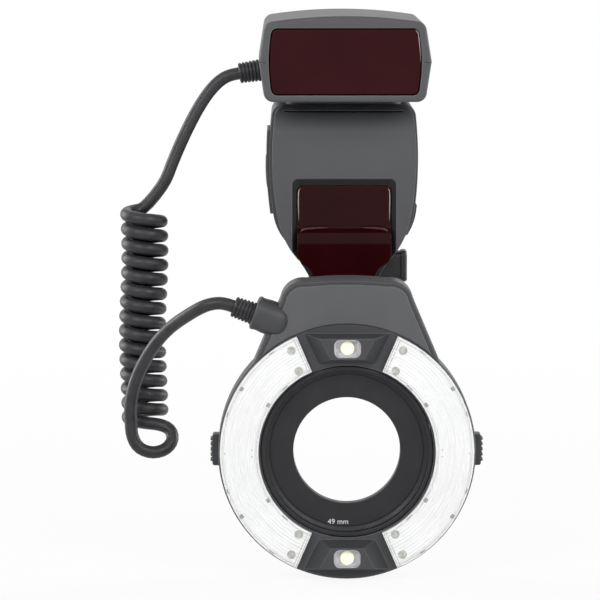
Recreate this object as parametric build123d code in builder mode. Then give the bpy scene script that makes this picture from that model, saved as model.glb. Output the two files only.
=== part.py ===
from build123d import *
import os
from math import atan2, ceil, cos, degrees, pi, radians, sin, sqrt, tan

# Macro ring flash: a control unit on a shoe foot, a curly cord, and a ring head on an adapter ring.
# Front is -Y, +Z is up, the origin is the centre of the foot's underside. Millimetres.

# Fits and common sizes
clearance = 0.3
running_gap = 0.05
overrun = 1.0
wall = 2.0
board_thickness = 1.6
pin_radius = 0.6

# Shoe foot and pedestal
foot_width = 18.6
foot_length = 18.0
foot_thickness = 2.0
foot_slot = 2.2
foot_neck_width = 12.5
foot_neck_length = 15.0
pedestal_width = 27.0
pedestal_length = 31.0
pedestal_base_height = 4.6
pedestal_radius = 12.2
collar_radius = 15.0
thumb_reach = 28.0
thumb_width = 12.0
thumb_depth = 11.0
thumb_inset = 2.0
thumb_flange = 2.6
contact_radius = 0.9
contact_spacing = 4.4
lock_pin_radius = 1.2
lock_pin_ahead = 6.6

# Control unit body
body_floor = 24.0
cover_brow_height = 75.0
cover_brow_rise = 12.0
body_top = cover_brow_height + cover_brow_rise
body_half = 32.2
body_bow = 1.6
body_shoulder_half = body_half - body_bow
body_waist_half = body_half - body_bow
body_waist_height = 40.0
body_tuck = 11.2
body_base_half = body_half - body_tuck
body_base_round = 3.0
body_shoulder = 5.0
body_back = 34.0
body_split = -19.0
body_front = -30.0
body_back_radius = 3.5
cover_inset = 1.2
cover_waist_inset = 1.9
cover_shoulder_inset = 1.4
cover_jaw_inset = 0.6
cover_half = body_half - cover_inset
cover_waist_half = body_waist_half - cover_waist_inset
cover_waist_height = 39.0
cover_shoulder_half = body_shoulder_half - cover_shoulder_inset
cover_jaw_half = body_base_half - cover_jaw_inset
cover_jaw_height = 21.4
chin_inset = 5.7
chin_half = cover_jaw_half - chin_inset
chin_rim = 1.4
chin_height = 12.4
chin_floor = 8.5
chin_back = -18.0
cover_wall = 2.2
window_inset = 0.1
lower_window_half = cover_jaw_half - window_inset
lower_window_top = 52.6
lower_window_ledge = 34.3
lower_window_depth = 2.6
lower_window_bulge = 1.6
lower_window_thickness = 2.0
window_frame = 2.3
window_brow = 3.5

# Top box
box_half = 36.7
box_top_half = 34.1
neck_height = 2.9
box_height = 36.5
box_shoulder_drop = 2.8
box_seam_rise = 17.1
box_bottom = body_top + neck_height
box_crown = box_bottom + box_height
box_shoulder = box_crown - box_shoulder_drop
box_seam = box_bottom + box_seam_rise
box_front = -50.0
box_back = 46.0
box_corner = 4.2
box_front_radius = 1.6
box_back_radius = 5.0
box_window_half = 32.2
box_window_end_half = 30.9
box_window_brow = 5.4
box_window_sill = 3.1
box_window_top = box_crown - box_window_brow
box_window_bottom = box_bottom + box_window_sill
box_window_corner = 2.6
box_window_recess = 0.9
window_thickness = 1.5
window_flange = 0.8
front_wall = 2.6
neck_width = 50.0
neck_length = 42.0
neck_middle = 2.0
cable_hole_radius = 6.0
capacitor_radius = 11.5
capacitor_length = 44.0
capacitor_y = 26.0

# Battery bay, cells and door
cell_radius = 7.25
cell_end_room = 7.6
cell_length = (body_half - cell_end_room) * 2
cell_nub_radius = 2.75
cell_nub_height = 1.2
bay_wall = 1.2
bay_middle_y = 4.0
bay_middle_z = 57.5
bay_mouth_depth = 4.6
bay_mouth_x = bay_mouth_depth - body_half
contact_thickness = 0.4
door_proud = 1.3
door_plug = 1.4
door_low = 39.3
door_high = 75.7
door_front = -12.7
door_back = 20.4
door_hinge_depth = 1.8
door_hinge_x = door_hinge_depth - body_half
door_hinge_y = 23.0
knuckle_radius = 1.35
knuckle_low = 46.0
knuckle_high = 69.0
pin_bite = 2.6
door_swing_room = 0.5

# Terminal cover and sockets
terminal_low = 29.5
terminal_high = 42.5
terminal_front = -9.0
terminal_back = 9.0
terminal_proud = 1.2
terminal_swing_room = 1.0
terminal_roll_length = 3.4
terminal_roll_radius = 0.5
socket_radius = 3.0
socket_bore = 1.3
socket_pitch = 9.0
socket_depth = 5.0

# Rear controls
panel_side = 8.2
panel_half = body_half - panel_side
panel_low = 31.5
panel_high = 83.0
panel_lip = 1.2
panel_proud = 0.8
lip_thickness = 1.5
lcd_side = 3.0
lcd_half = panel_half - lcd_side
lcd_low = 60.5
lcd_high = 80.5
lcd_thickness = 2.5
key_row_z = 55.0
key_row_end = 7.5
key_gap = 2.6
key_pitch = (panel_half - key_row_end) * 2 / 3
key_width = key_pitch - key_gap
key_height = 4.4
key_proud = 1.2
key_travel = 0.8
key_flange = 0.8
key_flange_thickness = 1.0
dial_z = 41.2
dial_radius = 8.8
dial_bore = 4.4
dial_thickness = 2.2
dial_notches = 14
set_radius = 4.0
side_key_inset = 5.8
side_key_x = panel_half - side_key_inset
side_key_z = 46.0
side_key_radius = 2.9
lever_z = 36.6
lever_disc_radius = 3.6
lever_tab_room = 4.8
lever_tab_length = side_key_x - dial_radius - lever_tab_room
lever_tab_width = 2.4

# Ring head
ring_axis_z = -53.0
ring_front = -98.0
ring_radius = 53.7
bore_radius = 36.2
window_inner = 36.9
window_outer = 52.9
window_end_degrees = 23.4
window_raise = 3.0
window_skin = 1.2
head_depth = 21.5
head_split = 6.0
reflector_depth = 5.5
reflector_wall = 0.8
tube_radius = 2.0
tube_ring_radius = 44.8
pod_proud = 4.6
pod_inner_half = 6.9
pod_outer_half = 11.6
pod_inner_z = 39.6
pod_outer_z = 48.2
pod_foot_inner_half = 12.4
pod_foot_outer_half = 18.8
pod_foot_inner_z = 36.6
pod_foot_outer_z = 49.8
lamp_radius_out = 44.0
lamp_half_width = 5.55
lamp_half_height = 3.8
lamp_corner = 2.6
lamp_recess = 0.5
lamp_depth = 4.0
lamp_chip = 1.6
cap_top = 72.2
cap_crown_half = 17.0
cap_crown_drop = 0.9
cap_corner_half = 27.6
cap_corner_z = 63.6
cap_foot_half = 40.1
cap_foot_z = 34.0
cap_corner_radius = 7.0
cap_seam = 2.1
cap_plate_proud = 0.8
channel_inner = 37.6
channel_outer = 51.6
housing_floor = 1.5
head_edge = 0.7
head_back_edge = 1.5
trough_inner = 38.6
trough_outer = 51.2
trough_end_degrees = 25.4
tube_end_degrees = 31.0
board_outer = 46.6

# Adapter ring
adapter_radius = 35.9
adapter_groove_radius = 34.4
adapter_shell_radius = 32.4
adapter_hole_radius = 22.3
adapter_thread_radius = 24.5
adapter_thread_length = 3.5
adapter_front_depth = 3.2
adapter_disc_depth = 7.4
adapter_rim = 1.9
adapter_disc_thickness = 2.0
adapter_length = 15.0
groove_room = 0.6

# Release latches
latch_inner = 40.0
latch_outer = 44.6
latch_thickness = 1.2
latch_travel = 2.0
claw_half_width = 5.0
claw_tip = 35.0
button_half_height = 6.6
button_depth = 7.0
button_proud = 2.7
button_bite = 3.2
button_radius_room = 10.0
button_stem_half = 3.0
button_ribs = 5
button_rib_height = 0.5

# Cord, boots and elbow
cord_diameter = 5.4
cord_sides = 6
boot_radius = 4.75
boot_tip_rib_radius = 4.4
boot_groove = 1.1
boot_ribs = 6
boot_length = 9.2
box_boot_y = -30.0
box_boot_drop = 4.4
elbow_x = -32.2
elbow_z = 54.8
elbow_along = 13.5
elbow_across = 13.2
elbow_deep = 17.0
elbow_front = -97.4
elbow_tilt_degrees = 20.0
elbow_round = 2.6
cord_lead = 4.0
bend_share = 0.45
coil_turns = 14.5
coil_radius = 7.45
coil_top_z = 43.4
coil_x = -85.9
coil_y = -43.0
coil_pitch = 6.24
coil_sway = 0.55
coil_sway_waves = 1.25
coil_drift = -0.3

# The cord's route outside the curls: from the box boot down to them, and from them up to the head boot
upper_route = [
    (-53.2, -30.1, 98.3), (-56.8, -30.4, 94.8), (-60.4, -30.8, 90.0), (-64.0, -31.4, 84.0),
    (-67.6, -32.3, 77.0), (-71.0, -33.3, 69.6), (-74.2, -34.4, 62.0), (-77.0, -35.4, 54.4),
]
lower_route = [
    (-91.1, -61.0, -45.5), (-91.4, -61.8, -38.6), (-90.2, -62.9, -31.2), (-87.7, -64.6, -23.8),
    (-84.2, -67.0, -16.8), (-80.2, -70.2, -10.4), (-76.0, -74.0, -5.2), (-71.8, -78.0, -1.2),
    (-67.6, -81.8, 2.0), (-63.5, -85.0, 4.9), (-59.4, -87.3, 7.3), (-55.2, -88.6, 8.6),
]
# The wide bottom loop after the curls: places and headings on its right side and at its bottom
loop_stations = [
    ((-73.2, -55.4, -51.8), (0.0, -0.5, -0.87)),
    ((-82.4, -60.2, -57.6), (-1.0, -0.15, 0.0)),
]


def facing(y, z=0.0, x=0.0):
    """A drawing plane that faces the viewer, with X to the right and Z up."""
    return Plane(origin=(x, y, z), x_dir=(1, 0, 0), z_dir=(0, -1, 0))


def side_on(x):
    """A drawing plane seen from +X, with Y to the right and Z up."""
    return Plane(origin=(x, 0, 0), x_dir=(0, 1, 0), z_dir=(1, 0, 0))


def keep(block, name):
    """Label a finished piece and write its STEP file."""
    block.part.label = name
    export_step(block.part, f"parts/{name}.step")


os.makedirs("parts", exist_ok=True)


# Outlines

def body_outline(grow=0.0):
    """The rear shell seen from the front: bowed sides that draw in under the waist."""
    with BuildSketch() as shape:
        with BuildLine():
            Line((0, body_top), (body_shoulder_half, body_top))
            side = ThreePointArc(
                (body_shoulder_half, body_top),
                (body_half, (body_top + body_waist_height) / 2),
                (body_waist_half, body_waist_height),
            )
            TangentArc((body_waist_half, body_waist_height), (body_base_half, body_floor), tangent=side % 1)
            Line((body_base_half, body_floor), (0, body_floor))
            Line((0, body_floor), (0, body_top))
        make_face()
        mirror(about=Plane.YZ)
        fillet(shape.vertices().group_by(Axis.Y)[-1].filter_by(lambda v: abs(v.X) > wall), body_shoulder)
        fillet(shape.vertices().group_by(Axis.Y)[0].filter_by(lambda v: abs(v.X) > wall), body_base_round)
        if grow:
            offset(amount=grow)
    return shape.sketch


def cover_outline(grow=0.0):
    """The front cover seen from the front: it draws in to a narrow chin."""
    with BuildSketch() as shape:
        with BuildLine():
            Line((0, body_top), (cover_shoulder_half, body_top))
            side = ThreePointArc(
                (cover_shoulder_half, body_top),
                (cover_half, (body_top + cover_waist_height) / 2),
                (cover_waist_half, cover_waist_height),
            )
            jaw = TangentArc(
                (cover_waist_half, cover_waist_height), (cover_jaw_half, cover_jaw_height), tangent=side % 1
            )
            TangentArc((cover_jaw_half, cover_jaw_height), (chin_half, chin_height), tangent=jaw % 1)
            Line((chin_half, chin_height), (chin_half, chin_floor))
            Line((chin_half, chin_floor), (0, chin_floor))
            Line((0, chin_floor), (0, body_top))
        make_face()
        mirror(about=Plane.YZ)
        fillet(shape.vertices().group_by(Axis.Y)[-1].filter_by(lambda v: abs(v.X) > wall), body_shoulder)
        if grow:
            offset(amount=grow)
    return shape.sketch


def lower_window_outline(grow=0.0):
    """The dark red lower window, which narrows into the chin."""
    neck = chin_half - chin_rim
    with BuildSketch() as shape:
        with BuildLine():
            Line((0, lower_window_top), (lower_window_half, lower_window_top))
            Line((lower_window_half, lower_window_top), (lower_window_half, body_floor))
            hip = TangentArc(
                (lower_window_half, body_floor),
                ((lower_window_half + neck) / 2, (body_floor + chin_height) / 2),
                tangent=(0, -1),
            )
            TangentArc(hip @ 1, (neck, chin_height), tangent=hip % 1)
            Line((neck, chin_height), (neck, chin_floor - overrun))
            Line((neck, chin_floor - overrun), (0, chin_floor - overrun))
            Line((0, chin_floor - overrun), (0, lower_window_top))
        make_face()
        mirror(about=Plane.YZ)
        fillet(shape.vertices().group_by(Axis.Y)[-1].filter_by(lambda v: abs(v.X) > wall), wall)
        if grow:
            offset(amount=grow)
    return shape.sketch


def box_outline(grow=0.0):
    """The top box seen from the front: crowned top and sides that meet at the seam."""
    with BuildSketch() as shape:
        with BuildLine():
            ThreePointArc((-box_top_half, box_shoulder), (0, box_crown), (box_top_half, box_shoulder))
            Line((box_top_half, box_shoulder), (box_half, box_seam))
            Line((box_half, box_seam), (box_top_half, box_bottom))
            Line((box_top_half, box_bottom), (-box_top_half, box_bottom))
            Line((-box_top_half, box_bottom), (-box_half, box_seam))
            Line((-box_half, box_seam), (-box_top_half, box_shoulder))
        make_face()
        corners = shape.vertices().filter_by(lambda v: abs(v.Y - box_seam) > wall)
        fillet(corners, box_corner)
        if grow:
            offset(amount=grow)
    return shape.sketch


def box_window_outline(grow=0.0):
    """The red top window: bowed sides and round corners."""
    middle = (box_window_top + box_window_bottom) / 2
    with BuildSketch() as shape:
        with BuildLine():
            Line((-box_window_end_half, box_window_top), (box_window_end_half, box_window_top))
            ThreePointArc(
                (box_window_end_half, box_window_top), (box_window_half, middle), (box_window_end_half, box_window_bottom)
            )
            Line((box_window_end_half, box_window_bottom), (-box_window_end_half, box_window_bottom))
            ThreePointArc(
                (-box_window_end_half, box_window_bottom),
                (-box_window_half, middle),
                (-box_window_end_half, box_window_top),
            )
        make_face()
        fillet(shape.vertices(), box_window_corner)
        if grow:
            offset(amount=grow)
    return shape.sketch


def ring_sector(inner, outer, end_degrees):
    """Half a ring on the +X side, cut back by an angle at top and bottom."""
    start, stop = radians(-90 + end_degrees), radians(90 - end_degrees)
    with BuildSketch() as shape:
        with BuildLine():
            ThreePointArc(
                (outer * cos(start), outer * sin(start)), (outer, 0), (outer * cos(stop), outer * sin(stop))
            )
            Line((outer * cos(stop), outer * sin(stop)), (inner * cos(stop), inner * sin(stop)))
            ThreePointArc(
                (inner * cos(stop), inner * sin(stop)), (inner, 0), (inner * cos(start), inner * sin(start))
            )
            Line((inner * cos(start), inner * sin(start)), (outer * cos(start), outer * sin(start)))
        make_face()
    return shape.sketch


def cap_outline(shrink=0.0):
    """The cap above the ring, down to its chord across the ring."""
    with BuildSketch() as shape:
        with BuildLine():
            ThreePointArc(
                (-cap_crown_half, cap_top - cap_crown_drop), (0, cap_top), (cap_crown_half, cap_top - cap_crown_drop)
            )
            ThreePointArc(
                (cap_crown_half, cap_top - cap_crown_drop),
                (cap_corner_half - cap_corner_radius / 3, cap_corner_z + cap_corner_radius * 2 / 3),
                (cap_corner_half, cap_corner_z),
            )
            Line((cap_corner_half, cap_corner_z), (cap_foot_half, cap_foot_z))
            Line((cap_foot_half, cap_foot_z), (-cap_foot_half, cap_foot_z))
            Line((-cap_foot_half, cap_foot_z), (-cap_corner_half, cap_corner_z))
            ThreePointArc(
                (-cap_corner_half, cap_corner_z),
                (-cap_corner_half + cap_corner_radius / 3, cap_corner_z + cap_corner_radius * 2 / 3),
                (-cap_crown_half, cap_top - cap_crown_drop),
            )
        make_face()
        if shrink:
            offset(amount=-shrink)
    return shape.sketch


def lamp_outline(grow=0.0):
    """A focusing lamp's window: flat top and bottom, bowed ends."""
    with BuildSketch() as shape:
        RectangleRounded(
            (lamp_half_width + grow) * 2, (lamp_half_height + grow) * 2, lamp_corner + grow
        )
    return shape.sketch


# Shoe foot

with BuildPart() as foot_plate:
    Box(foot_width, foot_length, foot_thickness, align=(Align.CENTER, Align.CENTER, Align.MIN))
    chamfer(foot_plate.edges().filter_by(Axis.Z), foot_thickness / 2)
    with Locations((0, 0, foot_thickness)):
        Box(foot_neck_width, foot_neck_length, foot_slot, align=(Align.CENTER, Align.CENTER, Align.MIN))
    with BuildSketch(Plane.XY):
        for x, y in ((0, 0), (-1, 1), (1, 1), (-1, -0.3), (1, -0.3)):
            with Locations((x * contact_spacing, y * contact_spacing)):
                Circle(contact_radius + running_gap)
        with Locations((0, -lock_pin_ahead)):
            Circle(lock_pin_radius + running_gap)
    extrude(amount=foot_thickness + foot_slot, mode=Mode.SUBTRACT)
keep(foot_plate, "foot_plate")

foot_top = foot_thickness + foot_slot
pedestal_step = foot_top + pedestal_base_height

with BuildPart() as contact_pins:
    with BuildSketch(Plane.XY):
        for x, y in ((0, 0), (-1, 1), (1, 1), (-1, -0.3), (1, -0.3)):
            with Locations((x * contact_spacing, y * contact_spacing)):
                Circle(contact_radius)
    extrude(amount=foot_top)
keep(contact_pins, "contact_pins")

with BuildPart() as foot_block:
    with BuildSketch(Plane.XY.offset(foot_top)):
        RectangleRounded(pedestal_width, pedestal_length, pedestal_width / 5)
    extrude(amount=pedestal_base_height)
    chamfer(foot_block.faces().sort_by(Axis.Z)[-1].edges(), pedestal_base_height / 4)
    with BuildSketch(Plane.XY.offset(pedestal_step)):
        Circle(pedestal_radius)
    extrude(amount=body_floor - pedestal_step)
    with Locations((0, -lock_pin_ahead, foot_top)):
        Cylinder(
            lock_pin_radius + running_gap, pedestal_base_height + wall,
            align=(Align.CENTER, Align.CENTER, Align.MIN), mode=Mode.SUBTRACT,
        )
keep(foot_block, "foot_block")

with BuildPart() as lock_pin:
    with Locations((0, -lock_pin_ahead, running_gap)):
        Cylinder(
            lock_pin_radius, foot_top + pedestal_base_height - running_gap,
            align=(Align.CENTER, Align.CENTER, Align.MIN),
        )
    chamfer(lock_pin.faces().sort_by(Axis.Z)[0].edges(), lock_pin_radius / 3)
keep(lock_pin, "lock_pin")

collar_low = pedestal_step + clearance
collar_high = body_floor - clearance
with BuildPart() as lock_lever:
    with BuildSketch(Plane.XY.offset(collar_low)):
        Circle(collar_radius)
        Circle(pedestal_radius + running_gap, mode=Mode.SUBTRACT)
    extrude(amount=collar_high - collar_low - thumb_inset)
    with BuildSketch(side_on(pedestal_radius + overrun)):
        with Locations((0, (collar_low + collar_high - thumb_inset) / 2)):
            RectangleRounded(thumb_depth, collar_high - collar_low - thumb_inset, thumb_inset)
    extrude(amount=thumb_reach - thumb_flange - pedestal_radius - overrun)
    with BuildSketch(side_on(thumb_reach - thumb_flange)):
        with Locations((0, (collar_low + collar_high - thumb_inset) / 2)):
            RectangleRounded(
                thumb_depth + thumb_inset / 2, collar_high - collar_low - thumb_inset / 2, thumb_inset
            )
    extrude(amount=thumb_flange)
    chamfer(lock_lever.faces().sort_by(Axis.X)[-1].edges(), thumb_flange / 4)
keep(lock_lever, "lock_lever")

# Control unit body

knuckle_middle = (knuckle_low + knuckle_high) / 2

with BuildPart() as rear_shell:
    with BuildSketch(facing(body_back)):
        add(body_outline())
    extrude(amount=body_back - body_split)
    fillet(rear_shell.faces().sort_by(Axis.Y)[-1].edges(), body_back_radius)
    with BuildSketch(facing(body_back - wall)):
        add(body_outline(-wall))
    extrude(amount=body_back - wall - body_split + overrun, mode=Mode.SUBTRACT)
    with BuildSketch(facing(body_back + overrun)):
        with Locations((0, (panel_low + panel_high) / 2)):
            RectangleRounded(
                (panel_half + clearance) * 2, panel_high - panel_low + clearance * 2, wall + clearance
            )
    extrude(amount=wall + overrun * 2, mode=Mode.SUBTRACT)
    # door opening with room for the hinge knuckle
    with BuildSketch(side_on(-body_half - overrun)):
        with Locations(((door_front + door_back) / 2, (door_low + door_high) / 2)):
            RectangleRounded(
                door_back - door_front + clearance * 2 - wall, door_high - door_low + clearance * 2 - wall, wall
            )
        with Locations(((door_back + door_hinge_y + knuckle_radius + clearance - wall) / 2, knuckle_middle)):
            Rectangle(
                door_hinge_y - door_back + knuckle_radius + clearance + wall,
                knuckle_high - knuckle_low + clearance * 2,
            )
    extrude(amount=body_half / 3, mode=Mode.SUBTRACT)
    with BuildSketch(Plane.XY.offset(knuckle_low - pin_bite)):
        with Locations((door_hinge_x, door_hinge_y)):
            Circle(pin_radius + running_gap)
    extrude(amount=knuckle_high - knuckle_low + pin_bite * 2, mode=Mode.SUBTRACT)
    # terminal opening
    with BuildSketch(side_on(body_half / 2)):
        with Locations(((terminal_front + terminal_back) / 2, (terminal_low + terminal_high) / 2)):
            RectangleRounded(
                terminal_back - terminal_front - wall * 2, terminal_high - terminal_low - wall * 2, wall
            )
    extrude(amount=body_half, mode=Mode.SUBTRACT)
    # cable way up into the neck
    with Locations((0, neck_middle, body_top)):
        Cylinder(cable_hole_radius, wall * 4, mode=Mode.SUBTRACT)
keep(rear_shell, "rear_shell")

window_face = body_front + lower_window_depth
window_back = window_face + lower_window_thickness

with BuildPart() as front_cover:
    with BuildSketch(facing(chin_back)):
        add(cover_outline())
    extrude(amount=chin_back - body_front)
    with BuildSketch(side_on(-body_half)):
        with BuildLine():
            Line((body_split, body_top + overrun), (body_split, body_floor - clearance))
            Line((body_split, body_floor - clearance), (chin_back, body_floor - clearance))
            Line((chin_back, body_floor - clearance), (chin_back, chin_floor))
            Line((chin_back, chin_floor), (body_front + wall * 3, chin_floor))
            ThreePointArc(
                (body_front + wall * 3, chin_floor),
                (body_front + wall, chin_height + wall * 2),
                (body_front, body_floor + wall * 3),
            )
            Line((body_front, body_floor + wall * 3), (body_front, cover_brow_height))
            ThreePointArc(
                (body_front, cover_brow_height),
                (body_front + wall * 1.7, body_top - wall * 2),
                (body_split, body_top + overrun),
            )
        make_face()
    extrude(amount=body_half * 2, mode=Mode.INTERSECT)
    # hollow behind the face, above the chin
    with BuildSketch(facing(body_split + overrun)):
        add(cover_outline(-cover_wall))
        with Locations((0, chin_floor)):
            Rectangle(body_half * 2, (body_floor - chin_floor + cover_wall) * 2, mode=Mode.SUBTRACT)
    extrude(amount=body_split + overrun - window_back, mode=Mode.SUBTRACT)
    # the window's opening, flared towards the viewer
    with BuildSketch(facing(window_back + clearance)):
        add(lower_window_outline(clearance))
    extrude(amount=window_back - body_front + clearance + overrun, mode=Mode.SUBTRACT)
    frame_middle = (lower_window_top + body_floor) / 2
    frame_height = lower_window_top - body_floor
    with BuildSketch(facing(body_front, frame_middle)):
        RectangleRounded(
            (lower_window_half + window_frame) * 2, frame_height + window_brow * 2, window_frame + clearance
        )
    with BuildSketch(facing(body_front + lower_window_depth, frame_middle)):
        RectangleRounded(lower_window_half * 2, frame_height, wall + clearance)
    loft(mode=Mode.SUBTRACT)
keep(front_cover, "front_cover")

with BuildPart() as lower_window:
    with BuildSketch(facing(window_back)):
        add(lower_window_outline())
    extrude(amount=lower_window_depth + lower_window_bulge + lower_window_thickness)
    with BuildSketch(side_on(-body_half)):
        with BuildLine():
            Line((window_back, lower_window_top + overrun), (window_back, chin_floor))
            Line((window_back, chin_floor), (window_back - wall, chin_floor))
            ThreePointArc(
                (window_back - wall, chin_floor),
                (body_front, chin_height + wall * 2),
                (body_front - lower_window_bulge, body_floor + wall * 2),
            )
            ThreePointArc(
                (body_front - lower_window_bulge, body_floor + wall * 2),
                (body_front - lower_window_bulge / 2, lower_window_ledge - wall),
                (window_face, lower_window_ledge),
            )
            Line((window_face, lower_window_ledge), (window_face, lower_window_top + overrun))
            Line((window_face, lower_window_top + overrun), (window_back, lower_window_top + overrun))
        make_face()
    extrude(amount=body_half * 2, mode=Mode.INTERSECT)
keep(lower_window, "lower_window")

lamp_block_front = window_back + clearance + wall
with BuildPart() as assist_lamps:
    with Locations((0, lamp_block_front + wall, lower_window_top - cell_radius)):
        Box(lower_window_half, wall * 2, cell_radius)
    with BuildSketch(facing(lamp_block_front, lower_window_top - cell_radius)):
        with GridLocations(lower_window_half / 2, 1, 2, 1):
            Circle(wall)
    extrude(amount=wall)
keep(assist_lamps, "assist_lamps")

# Top box

with BuildPart() as box_form:
    with BuildSketch(facing(box_back)):
        add(box_outline())
    extrude(amount=box_back - box_front)
    fillet(box_form.faces().sort_by(Axis.Y)[-1].edges(), box_back_radius)
    fillet(box_form.faces().sort_by(Axis.Y)[0].edges(), box_front_radius)
    with BuildSketch(facing(box_back - wall)):
        add(box_outline(-wall))
    extrude(amount=box_back - wall - box_front - front_wall, mode=Mode.SUBTRACT)
    with BuildSketch(facing(box_front + front_wall + overrun)):
        add(box_window_outline(clearance))
    extrude(amount=front_wall + overrun * 2, mode=Mode.SUBTRACT)
    with BuildSketch(Plane.XY.offset(box_bottom - overrun)):
        with Locations((0, neck_middle)):
            Circle(cable_hole_radius)
    extrude(amount=wall + overrun * 2, mode=Mode.SUBTRACT)

with BuildPart() as box_upper_shell:
    add(box_form.part)
    split(bisect_by=Plane.XY.offset(box_seam - clearance), keep=Keep.TOP)
keep(box_upper_shell, "box_upper_shell")

with BuildPart() as box_lower_shell:
    add(box_form.part)
    split(bisect_by=Plane.XY.offset(box_seam - clearance), keep=Keep.BOTTOM)
keep(box_lower_shell, "box_lower_shell")

with BuildPart() as top_window:
    with BuildSketch(facing(box_front + front_wall)):
        add(box_window_outline())
    extrude(amount=front_wall - box_window_recess)
    chamfer(top_window.faces().sort_by(Axis.Y)[0].edges(), box_window_recess / 2)
    with BuildSketch(facing(box_front + front_wall + window_thickness, (box_window_top + box_window_bottom) / 2)):
        Rectangle(
            (box_window_end_half + window_flange) * 2, box_window_top - box_window_bottom + window_flange * 2
        )
    extrude(amount=window_thickness)
keep(top_window, "top_window")

with BuildPart() as neck:
    with BuildSketch(Plane.XY.offset(body_top)):
        with Locations((0, neck_middle)):
            RectangleRounded(neck_width, neck_length, neck_width / 6)
            Circle(cable_hole_radius, mode=Mode.SUBTRACT)
    extrude(amount=box_bottom - body_top)
keep(neck, "neck")

# Battery bay, cells, contacts and door

bay_half = cell_radius * 2 + clearance + bay_wall
bay_end_x = bay_mouth_x + wall + cell_length + cell_nub_height + contact_thickness
cell_start_x = bay_mouth_x + wall

with BuildPart() as battery_bay:
    with BuildSketch(side_on(bay_mouth_x)):
        with Locations((bay_middle_y, bay_middle_z)):
            Rectangle(bay_half * 2, bay_half * 2)
    extrude(amount=bay_end_x + bay_wall - bay_mouth_x)
    with BuildSketch(side_on(bay_mouth_x - overrun)):
        with Locations((bay_middle_y, bay_middle_z)):
            Rectangle((bay_half - bay_wall) * 2, (bay_half - bay_wall) * 2)
    extrude(amount=bay_end_x - bay_mouth_x + overrun, mode=Mode.SUBTRACT)
keep(battery_bay, "battery_bay")

with BuildPart() as battery_cells:
    for row, column in ((-1, -1), (-1, 1), (1, -1), (1, 1)):
        middle = (bay_middle_y + row * cell_radius, bay_middle_z + column * (cell_radius + running_gap))
        turned = row * column > 0
        body_x = cell_start_x if turned else cell_start_x + cell_nub_height
        nub_x = cell_start_x + cell_length if turned else cell_start_x
        with BuildSketch(side_on(body_x)):
            with Locations(middle):
                Circle(cell_radius - running_gap)
        extrude(amount=cell_length)
        with BuildSketch(side_on(nub_x)):
            with Locations(middle):
                Circle(cell_nub_radius)
        extrude(amount=cell_nub_height)
keep(battery_cells, "battery_cells")

with BuildPart() as battery_contacts:
    with BuildSketch(side_on(bay_end_x - contact_thickness)):
        for row in (-1, 1):
            with Locations((bay_middle_y + row * cell_radius, bay_middle_z)):
                Rectangle(cell_radius + wall, cell_radius * 3)
    extrude(amount=contact_thickness)
keep(battery_contacts, "battery_contacts")

door_middle_y, door_middle_z = (door_front + door_back) / 2, (door_low + door_high) / 2
plug_face_x = bay_mouth_x - clearance - door_plug
with BuildPart() as battery_door:
    with BuildSketch(side_on(-body_half - door_proud * 2)):
        with Locations((door_middle_y - door_swing_room / 2, door_middle_z)):
            RectangleRounded(
                door_back - door_front - wall - door_swing_room, door_high - door_low - wall, wall - clearance
            )
    extrude(amount=body_half + door_proud * 2 + plug_face_x)
    with BuildSketch(facing(door_back + overrun)):
        add(body_outline(door_proud / 2))
    extrude(amount=door_back - door_front + overrun * 2, mode=Mode.INTERSECT)
    with BuildSketch(facing(door_back)):
        add(body_outline(door_proud))
        add(body_outline(running_gap), mode=Mode.SUBTRACT)
        with Locations((-body_half, door_middle_z)):
            Rectangle(body_half, door_high - door_low, mode=Mode.INTERSECT)
    extrude(amount=door_back - door_front)
    with BuildSketch(Plane.XY.offset(knuckle_low)):
        with Locations((door_hinge_x, door_hinge_y)):
            Circle(knuckle_radius)
        with Locations((door_hinge_x - knuckle_radius / 2, (door_back - overrun + door_hinge_y) / 2)):
            Rectangle(knuckle_radius, door_hinge_y - door_back + overrun)
        with Locations((door_hinge_x, door_hinge_y)):
            Circle(pin_radius + running_gap, mode=Mode.SUBTRACT)
    extrude(amount=knuckle_high - knuckle_low)
keep(battery_door, "battery_door")

with BuildPart() as door_hinge_pin:
    with Locations((door_hinge_x, door_hinge_y, knuckle_low - pin_bite)):
        Cylinder(
            pin_radius, knuckle_high - knuckle_low + pin_bite * 2,
            align=(Align.CENTER, Align.CENTER, Align.MIN),
        )
keep(door_hinge_pin, "door_hinge_pin")

with BuildPart() as door_contacts:
    with BuildSketch(side_on(plug_face_x)):
        for row in (-1, 1):
            with Locations((bay_middle_y, bay_middle_z + row * cell_radius)):
                Rectangle(cell_radius * 3, cell_radius + wall)
    extrude(amount=contact_thickness)
    with BuildSketch(side_on(plug_face_x + contact_thickness)):
        with Locations((bay_middle_y, bay_middle_z)):
            with GridLocations(cell_radius * 2, cell_radius * 2, 2, 2):
                RegularPolygon(cell_nub_radius, 6)
    extrude(amount=cell_start_x - plug_face_x - contact_thickness - clearance)
keep(door_contacts, "door_contacts")

# Terminal cover and sockets

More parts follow.
